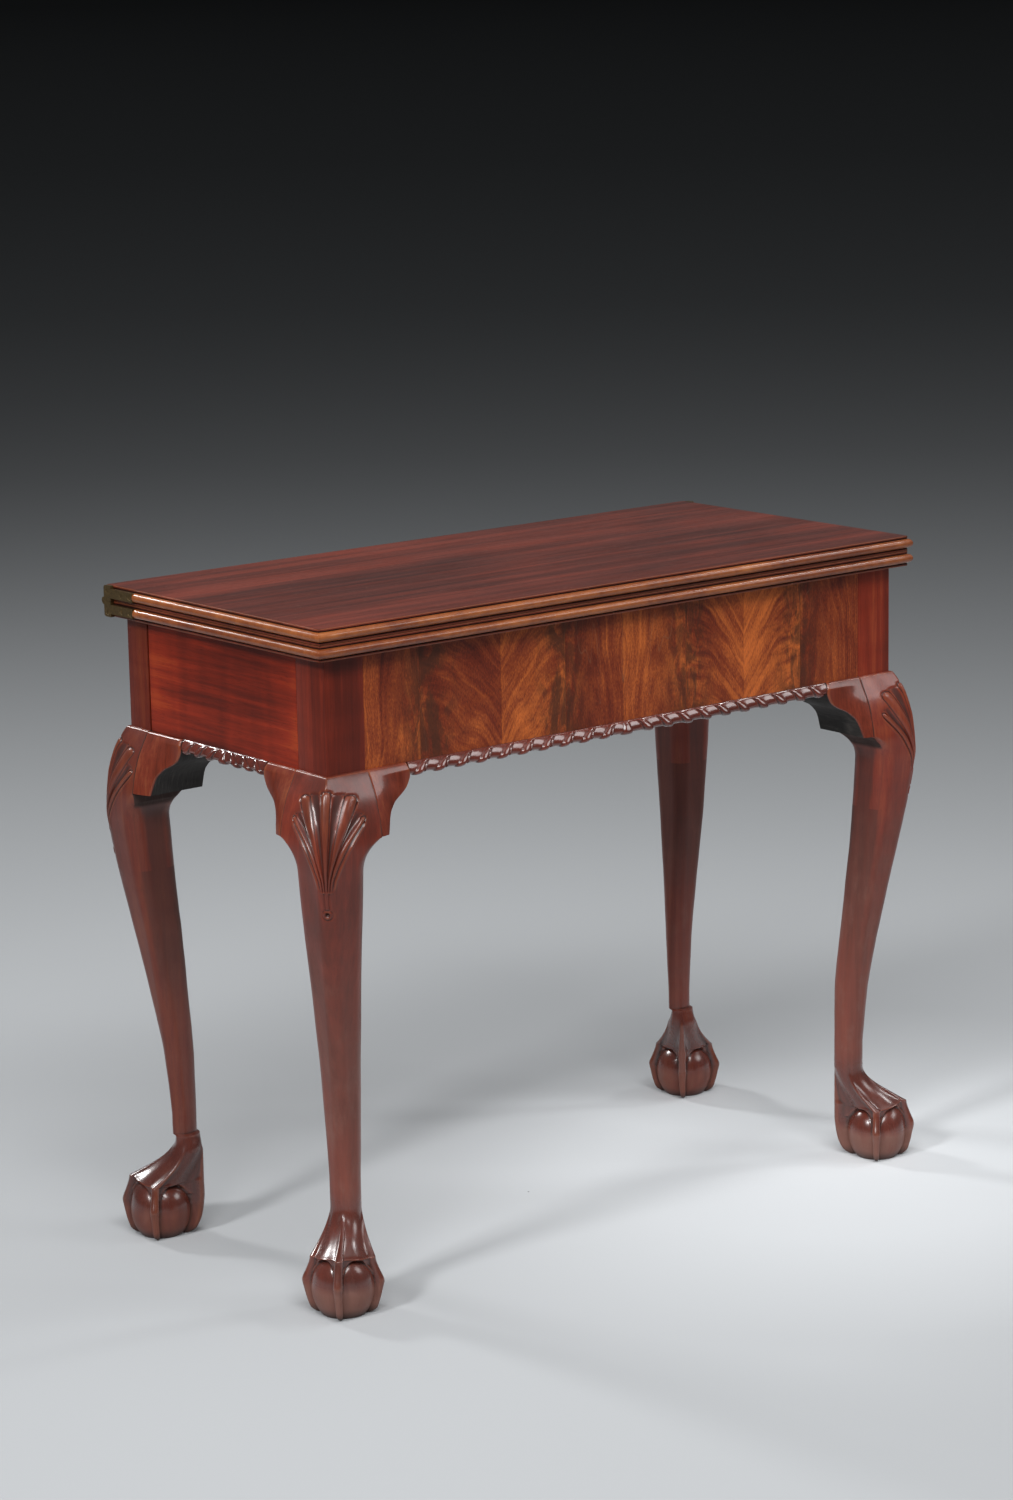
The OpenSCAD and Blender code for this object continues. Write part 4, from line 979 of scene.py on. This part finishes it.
def gadroon_shell(length, lobes):
    """A gadrooned strip: X along it, Y out of the rail, Z down. Each of its points lies between
    the section of a lobe and that of a flute, by how near it is to a lobe's crest. A pitch has
    a lobe that is narrow above and full below, a thin fillet beside it and a hollow flute. All
    lean to the middle of the strip, and hook over at the top."""
    pitch = length / lobes
    x = np.linspace(-length / 2, length / 2, lobes * 46 + 1)[:, None]
    s = np.linspace(0, len(LOBE) - 1, 62)
    crest, bed = (np.stack([smooth_curve(s, list(enumerate(v))) for v in zip(*table)])
                  for table in (LOBE, FLUTE))
    depth = (crest[1] + bed[1]) / 2
    lean = 0.72 * (depth - 8) - 3.6 * bell(depth, 2.8)
    side = np.tanh(x / (0.12 * pitch))
    swing = x - side * lean * np.clip(np.abs(x) / (0.55 * pitch), 0, 1)
    phase = -side * (swing / pitch - np.round(swing / pitch))
    half = LOBE_HALF + LOBE_GROWS * ease(depth, 1, 10)
    t = np.abs(phase) / half
    lobe = np.sqrt(np.clip(1 - t**2.4, 0, 1))
    fillet_at = half + FILLET_OFF
    fillet = FILLET_PROUD * bell(phase - fillet_at, FILLET_W) * ease(-depth, -13.5, -11)
    flute_middle = (fillet_at + 1 - half) / 2
    across = (np.mod(phase, 1) - flute_middle) / (flute_middle - fillet_at)
    flute = FLUTE_SIDE * np.clip(across, -1, 1)**2
    share = np.where(t < 1, lobe, np.maximum(fillet, flute))[..., None]
    section = bed.T + (crest - bed).T * share
    front = xyz(x, section[..., 0], -np.clip(section[..., 1], 0, 14.5))
    wear = wear_of(front, False, 1, 0.30)
    # The creases round each lobe get a dark line of painted shade
    edge = bell((np.abs(phase) - half) * pitch, 0.45)
    wear = np.clip(np.minimum(wear, 1 - 1.9 * edge), -1, 0.55)
    g = np.concatenate([xyz(x, -6, 0), xyz(x, 0.2, 0), front, xyz(x, -19, -3), xyz(x, -19, 0)],
                       axis=1)
    pad = np.zeros((len(x), 1))
    wear = np.hstack([pad - 1, pad - 1, wear, pad, pad])
    raw = np.hstack([pad, pad, pad + ease(s, 9.3, 10.3), pad + 1, pad + 1])
    return g, wear, raw


def make_gadroon(name, origin, along, out, length, lobes, material):
    """A gadrooned strip with its middle at origin."""
    g, wear, raw = gadroon_shell(length, lobes)
    skin = Skin().grid(set_at(g, origin, along, out), wrap=True, caps=True, wear=wear, raw=raw)
    return skin.build(name + "_carved", "frame", "mahogany", material, (name,), angle=45)


# ---------------------------------------------------------------- leaves
FILLET_H, FILLET_SET, QUIRK_SET, INSET = 2.3, 4.5, 6.0, 40.0
CORNER_CUT = 1.1  # how much the moulding's corners are rubbed off


def edge_profile(bead_r):
    """A leaf's moulded edge from its outer face to the other: offset from the outermost line
    and height. Two fillets, two quirks and a bead between them. Also gives how far each point
    is bead, and its wear and shading: painted shade in the quirks, and lighter fillet edges,
    part wear and part painted highlight."""
    rise = math.acos((QUIRK_SET - bead_r) / bead_r)
    turn = np.linspace(-math.pi + rise, math.pi - rise, 26)
    bead = np.stack([-bead_r + bead_r * np.cos(turn), LEAF_T / 2 + bead_r * np.sin(turn)], -1)
    low = np.array([(-INSET, 0), (-INSET + 12, 0), (-9, 0), (-FILLET_SET - 0.9, 0),
                    (-FILLET_SET - 0.3, 0.15), (-FILLET_SET, 0.6), (-FILLET_SET, 1.2),
                    (-FILLET_SET, FILLET_H - 0.4), (-FILLET_SET - 0.4, FILLET_H),
                    (-QUIRK_SET + 0.3, FILLET_H), (-QUIRK_SET, FILLET_H + 0.3)])
    high = low[::-1] * (1, -1) + (0, LEAF_T)
    profile = np.vstack([low, bead, high])
    is_bead = np.concatenate([np.zeros(len(low)), np.sin((turn + math.pi) / 2)**0.3,
                              np.zeros(len(high))])
    wear = np.zeros(len(profile))
    # The quirks get painted shade, and the fillets' edges are lightened, part wear and part
    # painted highlight
    wear[len(low) - 3:len(low) + 2] = -1
    wear[-len(high) - 2:-len(high) + 3] = -1
    wear[[4, 5, -5, -6]] += 0.8
    return profile, is_bead, wear


def leaf_skin(bead_r, wave_seed):
    """A leaf with its outer face at Z = 0. The edge profile is carried round both ends and
    the front with mitred corners, and two flat fields and the back close the board. Behind
    the seat of a hinge plate the profile is cut back to the plate's inner face."""
    profile, is_bead, wear = edge_profile(bead_r)
    a, b = profile.T
    depth = LEAF_BACK - LEAF_FRONT
    seat = SEAT_L / depth
    down = np.concatenate([[0, seat / 2, seat], np.linspace(seat, 1, 40)])[:, None]
    free = (np.arange(len(down)) > 2)[:, None]
    along = np.linspace(0, 1, 90)[:, None]

    def end_y(offset):
        """Y of an end's stations: straight along the seat, then shared out to the mitre."""
        y_seat = LEAF_BACK - SEAT_L
        share = np.clip((down - seat) / (1 - seat), 0, 1)
        return np.where(down <= seat, LEAF_BACK - down * depth,
                        y_seat + share * (LEAF_FRONT - offset - y_seat))

    offset = np.where(free, a, np.minimum(a, -PLATE_T - 0.06))
    rub = ease(down, 0.993, 1.0) * CORNER_CUT * (a > -5)
    left = xyz(-LEAF_X - offset + rub, end_y(offset) + rub, b)
    rub = (ease(-along, -0.002, 0.0) + ease(along, 0.998, 1.0)) * CORNER_CUT * (a > -5)
    front = xyz((-LEAF_X - a) * (1 - 2 * along) * (1 - rub / LEAF_X), LEAF_FRONT - a + rub, b)
    right = left * (-1, 1, 1)
    skin = Skin()
    for g, out, shown in ((left, (-1, 0, 0), free), (right, (1, 0, 0), free),
                          (front, (0, -1, 0), 1)):
        wave = 0.12 * np.minimum(ripple(g, wave_seed, 60), 0) * (np.abs(b - LEAF_T / 2) < bead_r)
        skin.grid(g + wave[..., None] * out, bead=is_bead * shown, wear=wear)
    # Flat fields on both faces, the back, and the ends of the board at the back
    x = (INSET - LEAF_X) * (1 - 2 * along)
    for z in (0.0, LEAF_T):
        skin.grid(xyz(x, end_y(-INSET).T, z))
    skin.grid(xyz(x, LEAF_BACK, np.array([0.0, LEAF_T])))
    for g in (left[0], right[0]):
        skin.add(g, [np.arange(len(g))[None, :]])
    return skin


def make_leaf(name, body, outer_z, up, wave_seed, bead_r, material):
    """A leaf with its outer face at a height and the rest of it over (1) or under (-1) that."""
    skin = leaf_skin(bead_r, wave_seed)
    skin.points = [points * (1, 1, up) + (0, 0, outer_z) for points in skin.points]
    return skin.build(name + "_moulded", body, "mahogany", material, (name,), merge=True,
                      angle=32)


# ---------------------------------------------------------------- veneer sheets
# Half the gap at a seam, then the sheets from left to right: left edge, U at both edges and
# lightness
SEAM = 0.05
SHEETS = [(None, 1.8, 1.0, -0.10), (-270, 1.0, 0.0, -0.10), (-165, 0.0, 1.0, 0.12),
          (-79, 1.0, 1.8, -0.14), (-1, 1.8, 1.0, 0.06), (87, 1.0, 0.0, -0.04),
          (170, 0.0, 1.0, 0.14), (253, 1.0, 1.9, -0.08)]


def veneer_skin():
    """Sheets of veneer between uneven seams, each a thin, faintly wavy panel with its edges
    eased. Matched sheets read the same figure, so they share a number."""
    lefts = [VENEER_LOW[0], *[sheet[0] for sheet in SHEETS[1:]], VENEER_HIGH[0]]
    skin, uv = Skin(), []
    z = np.linspace(LEG_H, FRAME_TOP, 30)
    back = np.concatenate([[1, 0.3, 0], np.zeros(22), [0, 0.3, 1]])[:, None]
    for k, (_, u_left, u_right, light) in enumerate(SHEETS):
        x0, x1 = lefts[k] + SEAM, lefts[k + 1] - SEAM
        width = x1 - x0
        across = np.concatenate([[0, 0, 0.3], np.linspace(1, width - 1, 22),
                                 [width - 0.3, width, width]])[:, None]
        wave = 1 + ripple(xyz(x0 + across, 0.0, z), 20 + k, 45)
        y = -FRAME_Y + back * (VENEER_HIGH[1] - VENEER_LOW[1]) + 0.10 * wave * (back == 0)
        skin.grid(xyz(x0 + across, y, z), wear=-0.13 * (back > 0), light=light,
                  sheet=1.7 * ((k + 1) // 2) + 0.5)
        figure = u_left + (u_right - u_left) * across / width
        uv.append(xyz(figure, (z - LEG_H) / 100, 0)[..., :2].reshape(-1, 2))
    return skin, np.vstack(uv)


# ---------------------------------------------------------------- screws
HEAD_R, SLOT = 3.0, 0.135  # radius of a screw's head, and its slot's half width in radii
STEM = np.array([(0.15, 1), (3.2, 0.5), (15, 0.35)])  # depths and radii, in radii of the head


def screw_heads(skin, x, side, spots, seed):
    """Slotted countersunk heads on an end face. A head is a disc of straight columns, so that
    its slot has straight walls, a little domed, with its rim let in."""
    pick = np.random.default_rng(seed)
    half = np.array([SLOT, 0.14, 0.3, 0.5, 0.7, 0.9, 1])
    p = HEAD_R * np.concatenate([-half[::-1], half])[:, None]
    q = np.linspace(-1, 1, 13) * np.sqrt(np.maximum(HEAD_R**2 - p**2, 0.02))
    dome = 0.25 * (1 - (p**2 + q**2) / HEAD_R**2) - 0.9 * (np.abs(p) < 0.1355 * HEAD_R) - 0.12
    turn = np.linspace(0, 6.283, 25)[:-1]
    for y, z in spots:
        tilt = pick.uniform(0, math.pi)
        c, s = math.cos(tilt), math.sin(tilt)
        skin.grid(xyz(x + side * dome, y + p * c - q * s, z + p * s + q * c))
        depth, r = STEM[:, :1], STEM[:, 1:] * HEAD_R
        skin.grid(xyz(x - side * depth, y + r * np.cos(turn), z + r * np.sin(turn)),
                  wrap=True, caps=True)


# ---------------------------------------------------------------- operators
def finish_nodes(nodes, material):
    """Gives joinery pieces that keep their own shape a finish."""
    for name in nodes:
        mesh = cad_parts[name].data
        mesh.materials.clear()
        mesh.materials.append(material)


def finish_of(context):
    """The user's colours."""
    return context.scene.card_table_finish


class CARDTABLE_OT_legs(bpy.types.Operator):
    """Carve the four cabriole legs with their fans and claw-and-ball feet"""

    bl_idname = "cardtable.legs"
    bl_label = "Legs"

    def execute(self, context):
        size, colour = context.scene.card_table_sizes, finish_of(context).polish
        plan = (  # name, body, corner, post's depth, post's top, gain of the colour, dust and painted sheen
            ("front_left_leg", "frame", (-1, -1), POST_W, None, 1.0, 1.0),
            ("front_right_leg", "frame", (1, -1), POST_W, None, 1.0, 1.1),
            ("rear_right_leg", "frame", (1, 1), REAR_D, None, 0.92, 0.55),
            ("fly_leg", "gate", (-1, 1), REAR_D, FLY_TOP, 0.55, 0.40))
        # A gain under 1 darkens a rear leg with painted shade; the last number pales a leg
        # towards the floor, part dust and part painted sheen
        for k, (name, body, corner, post, top, gain, dust_and_sheen) in enumerate(plan):
            material = wood(name + "_mahogany", rgb(colour, gain), "Z",
                            (0.3 * k, 0.17 * k, 0.4 * k), contrast=0.8, low_coat=0.5, dust_and_sheen=dust_and_sheen)
            make_leg(name, body, corner, post, material, size, top)
        return {"FINISHED"}


class CARDTABLE_OT_knee_blocks(bpy.types.Operator):
    """Set the six knee blocks beside the legs"""

    bl_idname = "cardtable.knee_blocks"
    bl_label = "Knee blocks"

    def execute(self, context):
        size = context.scene.card_table_sizes
        material = wood("block_mahogany", (0.150, 0.025, 0.012), "Z", (0.9, 0.2, 0.5),
                        contrast=0.8, coat=0.4)
        reach = FRAME_X - edges("front_right_block")[0][0] - POST_W - 2
        rear_reach = REAR_FRONT_Y - edges("right_rear_block")[0][1] - 2
        fly_reach = edges("fly_block")[1][1] - edges("fly_block")[0][1] - 2
        x, y, z = FRAME_X, FRAME_Y, LEG_H
        inner = x - POST_W
        plan = (  # name, body, origin, along, out, length, how far it starts under the rail
            ("front_left_block", "frame", (-inner, -y, z), (1, 0, 0), (0, -1, 0), reach, 0),
            ("front_right_block", "frame", (inner, -y, z), (-1, 0, 0), (0, -1, 0), reach, 0),
            ("left_front_block", "frame", (-x, -y + POST_W, z), (0, 1, 0), (-1, 0, 0), reach, 0),
            ("right_front_block", "frame", (x, -y + POST_W, z), (0, 1, 0), (1, 0, 0), reach, 0),
            ("right_rear_block", "frame", (x, REAR_FRONT_Y, z), (0, -1, 0), (1, 0, 0),
             rear_reach, 0),
            ("fly_block", "gate", (-x, REAR_FRONT_Y, z), (0, -1, 0), (-1, 0, 0), fly_reach,
             0.6))
        for row in plan:
            make_block(*row, material, size)
        return {"FINISHED"}


class CARDTABLE_OT_gadroons(bpy.types.Operator):
    """Carve the gadrooned strips under the front and the ends"""

    bl_idname = "cardtable.gadroons"
    bl_label = "Gadroons"

    def execute(self, context):
        size = context.scene.card_table_sizes
        material = wood("gadroon_mahogany", (0.135, 0.024, 0.014), "X", (0.5, 0.6, 0.1),
                        contrast=0.6, gloss=0.18, coat=1.0)
        for name, axis, sign in (("front_gadroon", 0, -1), ("left_gadroon", 1, -1),
                                 ("right_gadroon", 1, 1)):
            low, high = edges(name)
            middle, length = (low + high) / 2, high[axis] - low[axis]
            if axis == 0:
                origin, along, out = (middle[0], -FRAME_Y, LEG_H), (1, 0, 0), (0, -1, 0)
            else:
                origin, along, out = (sign * FRAME_X, middle[1], LEG_H), (0, 1, 0), (sign, 0, 0)
            lobes = size.front_lobes if axis == 0 else size.end_lobes
            make_gadroon(name, origin, along, out, length, lobes, material)
        return {"FINISHED"}


class CARDTABLE_OT_leaves(bpy.types.Operator):
    """Run the moulding round both leaves"""

    bl_idname = "cardtable.leaves"
    bl_label = "Leaves"

    def execute(self, context):
        bead = context.scene.card_table_sizes.bead_radius / MM
        material = edge_wood("leaf_mahogany", finish_of(context).top)
        make_leaf("lower_leaf", "frame", FRAME_TOP, 1, 870, bead, material)
        make_leaf("upper_leaf", "top_leaf", TOP_Z, -1, 805, bead, material)
        return {"FINISHED"}


class CARDTABLE_OT_veneer(bpy.types.Operator):
    """Lay the crotch veneer on the front rail"""

    bl_idname = "cardtable.veneer"
    bl_label = "Crotch veneer"

    def execute(self, context):
        material = crotch_veneer("crotch_veneer", tuple(finish_of(context).flame))
        skin, uv = veneer_skin()
        skin.build("front_veneer_sheets", "frame", "crotch_veneer", material,
                   ("front_veneer",), uv=uv)
        return {"FINISHED"}


class CARDTABLE_OT_joinery(bpy.types.Operator):
    """Give the rails, the gate, the glue blocks and the pin their finishes"""

    bl_idname = "cardtable.joinery"
    bl_label = "Rails and gate"

    def execute(self, context):
        colour = finish_of(context).polish
        finish_nodes(["left_end_rail", "right_end_rail"],
                     wood("end_rail_mahogany", (0.215, 0.017, 0.004), "Y", (0.2, 0.7, 0.3),
                          coat=0.02, light_gain=1.7, glow=1.2))
        finish_nodes(["front_rail"], wood("front_rail_wood", rgb(colour, 0.6), "X", coat=0.05,
                                          gloss=0.5))
        finish_nodes(["hinge_rail", "fly_rail"],
                     wood("gate_wood", (0.085, 0.028, 0.013), "X", (0.4, 0.2, 0.1), coat=0.05,
                          gloss=0.48))
        finish_nodes(["inner_back_rail", "glue_blocks"],
                     wood("aged_pine", (0.230, 0.120, 0.050), "X", (0.1, 0.3, 0.6), coat=0.0,
                          gloss=0.6, contrast=0.8, dark_gain=0.5, light_gain=1.4))
        finish_nodes(["knuckle_pin"], dark_iron("wrought_iron"))
        return {"FINISHED"}


class CARDTABLE_OT_brasses(bpy.types.Operator):
    """Tarnish the hinge plates and drive their slotted screws"""

    bl_idname = "cardtable.brasses"
    bl_label = "Hinges and screws"

    def execute(self, context):
        brass = aged_brass("aged_brass", tuple(finish_of(context).brass))
        finish_nodes(["lower_left_hinge", "lower_right_hinge", "upper_left_hinge",
                      "upper_right_hinge", "hinge_pins"], brass)
        for name, body in (("lower_hinge_screws", "frame"), ("upper_hinge_screws", "top_leaf")):
            face = FRAME_TOP if body == "frame" else TOP_Z
            way = 1 if body == "frame" else -1
            spots = [(LEAF_BACK - 6, face + way * 5), (LEAF_BACK - 47, face + way * LEAF_T / 2),
                     (LEAF_BACK - 32, face + way * LEAF_T / 2)]
            skin = Skin()
            for side in (-1, 1):
                screw_heads(skin, side * LEAF_X, side, spots, 3 + side + way)
            skin.build(name + "_slotted", body, "brass", brass, (name,), angle=30)
        return {"FINISHED"}


class CARDTABLE_OT_stage(bpy.types.Operator):
    """Lay the floor, hang the lamps and set the camera"""

    bl_idname = "cardtable.stage"
    bl_label = "Floor, lamps and camera"

    def execute(self, context):
        lay_floor(tuple(finish_of(context).floor))
        hang_lamps()
        set_camera()
        return {"FINISHED"}


# ---------------------------------------------------------------- stage
# Gains of the floor's colour with distance: a painted pool of light falling off to dark
PAINTED_FLOOR_FALLOFF = [(0.10, 1.20), (0.17, 1.05), (0.24, 0.80), (0.35, 0.70), (0.43, 0.56),
              (0.50, 0.44), (0.58, 0.29), (0.67, 0.19), (0.78, 0.125), (1.0, 0.055)]


def lay_floor(colour):
    """A wide disc of rings, whose pale colour falls to dark grey with the logarithm of the
    distance from a point a little to the right of the table: a painted falloff of the studio's
    light."""
    radius = np.array([0.001, 0.5, 1, 2, 4, 8, 16, 32, 64, 120])[:, None]
    turn = np.linspace(0, 2 * np.pi, 96, endpoint=False)
    g = xyz(radius * np.cos(turn), radius * np.sin(turn), -0.0004)
    ids = np.arange(g.size // 3).reshape(g.shape[:2])
    far = np.roll(ids, -1, axis=1)
    quads = np.stack([ids[:-1], ids[1:], far[1:], far[:-1]], -1).reshape(-1, 4)
    mesh = bpy.data.meshes.new("floor")
    mesh.from_pydata(g.reshape(-1, 3).tolist(), [], quads.tolist())
    material, s, place = new_material("pale_floor")
    off = s.make("ShaderNodeVectorMath", {"operation": "ADD"}, {0: place, 1: (-0.34, 0.12, 0)})
    away = s.make("ShaderNodeVectorMath", {"operation": "LENGTH"}, {0: off}, output=1)
    painted_shade = (s.math("LOGARITHM", away + 0.35, 2.0) + 2.0) / 8.0
    base = painted_shade.ramp(*[(spot, rgb(colour, gain)) for spot, gain in PAINTED_FLOOR_FALLOFF])
    close_material(s, Base_Color=base, Roughness=0.9, Specular_IOR_Level=0.0)
    mesh.materials.append(material)
    put("floor", mesh)


LAMPS = [  # name, place, aim, width, height, watts
    ("left_lamp", (-3.6, -0.7, 2.9), (0, 0, 0.40), 0.6, 0.6, 86),
    ("back_lamp", (-1.0, 3.4, 2.7), (0, 0, 0.4), 0.5, 0.5, 48),
    ("front_lamp", (2.9, -3.1, 2.8), (0, 0, 0.45), 1.7, 1.3, 36),
    ("side_lamp", (3.2, -1.2, 3.7), (0.2, 0, 0.5), 0.5, 0.5, 20),
    ("high_lamp", (-1.7, -2.7, 4.0), (-0.2, -0.1, 0.3), 3.4, 1.0, 145),
    ("top_lamp", (0.6, -0.6, 5.2), (0, 0, 0), 3.6, 3.6, 40),
]


def hang_lamps():
    """Area lamps, each turned to its aim, and a faint even light all round."""
    for name, place, aim, width, height, watts in LAMPS:
        data = bpy.data.lights.new(name, "AREA")
        data.shape, data.size, data.size_y, data.energy = "RECTANGLE", width, height, watts
        lamp = put(name, data)
        lamp.location = place
        lamp.rotation_euler = (Vector(aim) - Vector(place)).to_track_quat("-Z", "Y").to_euler()
    world = bpy.data.worlds.new("studio")
    bpy.context.scene.world = world
    world.use_nodes = True
    colour, strength = world.node_tree.nodes["Background"].inputs[:2]
    colour.default_value, strength.default_value = (0.85, 0.88, 0.90, 1), 0.15


CAMERA_PLACE = (-2.5882, -3.1684, 1.3863)
CAMERA_YAW, CAMERA_PITCH, CAMERA_ROLL = 0.6812, 0.2129, -0.0185
CAMERA_LENS, CAMERA_SENSOR = 92.74, 36


def set_camera():
    """The camera that was fitted to the photograph: yaw from +Y towards +X, pitch down."""
    (sy, cy), (sp, cp), (sr, cr) = ((math.sin(angle), math.cos(angle)) for angle in
                                    (CAMERA_YAW, CAMERA_PITCH, CAMERA_ROLL))
    forward = Vector((sy * cp, cy * cp, -sp))
    level = Vector((cy, -sy, 0))
    up = level.cross(forward)
    turn = Matrix((cr * level + sr * up, cr * up - sr * level, -forward)).transposed()
    camera = put("camera", bpy.data.cameras.new("camera"))
    camera.data.lens, camera.data.sensor_width = CAMERA_LENS, CAMERA_SENSOR
    camera.matrix_world = Matrix.Translation(CAMERA_PLACE) @ turn.to_4x4()
    bpy.context.scene.camera = camera
    bpy.context.scene.view_settings.view_transform = "Standard"


class CARDTABLE_PT_panel(bpy.types.Panel):
    """Sizes, finishes and building steps of the card table"""

    bl_idname = "CARDTABLE_PT_panel"
    bl_label = "Card table"
    bl_space_type = "VIEW_3D"
    bl_region_type = "UI"
    bl_category = "Card table"

    def draw(self, context):
        for group in (context.scene.card_table_sizes, finish_of(context)):
            box = self.layout.box()
            for key in group.__annotations__:
                box.prop(group, key)
        for step in STEPS:
            self.layout.operator(step.bl_idname)


STEPS = (CARDTABLE_OT_legs, CARDTABLE_OT_knee_blocks, CARDTABLE_OT_gadroons,
         CARDTABLE_OT_leaves, CARDTABLE_OT_veneer, CARDTABLE_OT_joinery, CARDTABLE_OT_brasses,
         CARDTABLE_OT_stage)
CLASSES = (CardTableSizes, CardTableFinish, *STEPS, CARDTABLE_PT_panel)


def register():
    for cls in CLASSES:
        bpy.utils.register_class(cls)
    bpy.types.Scene.card_table_sizes = PointerProperty(type=CardTableSizes)
    bpy.types.Scene.card_table_finish = PointerProperty(type=CardTableFinish)


def unregister():
    del bpy.types.Scene.card_table_finish, bpy.types.Scene.card_table_sizes
    for cls in reversed(CLASSES):
        bpy.utils.unregister_class(cls)


def main():
    register()
    bpy.ops.cardtable.legs()
    bpy.ops.cardtable.knee_blocks()
    bpy.ops.cardtable.gadroons()
    bpy.ops.cardtable.leaves()
    bpy.ops.cardtable.veneer()
    bpy.ops.cardtable.joinery()
    bpy.ops.cardtable.brasses()
    bpy.ops.cardtable.stage()


if __name__ == "__main__":
    main()
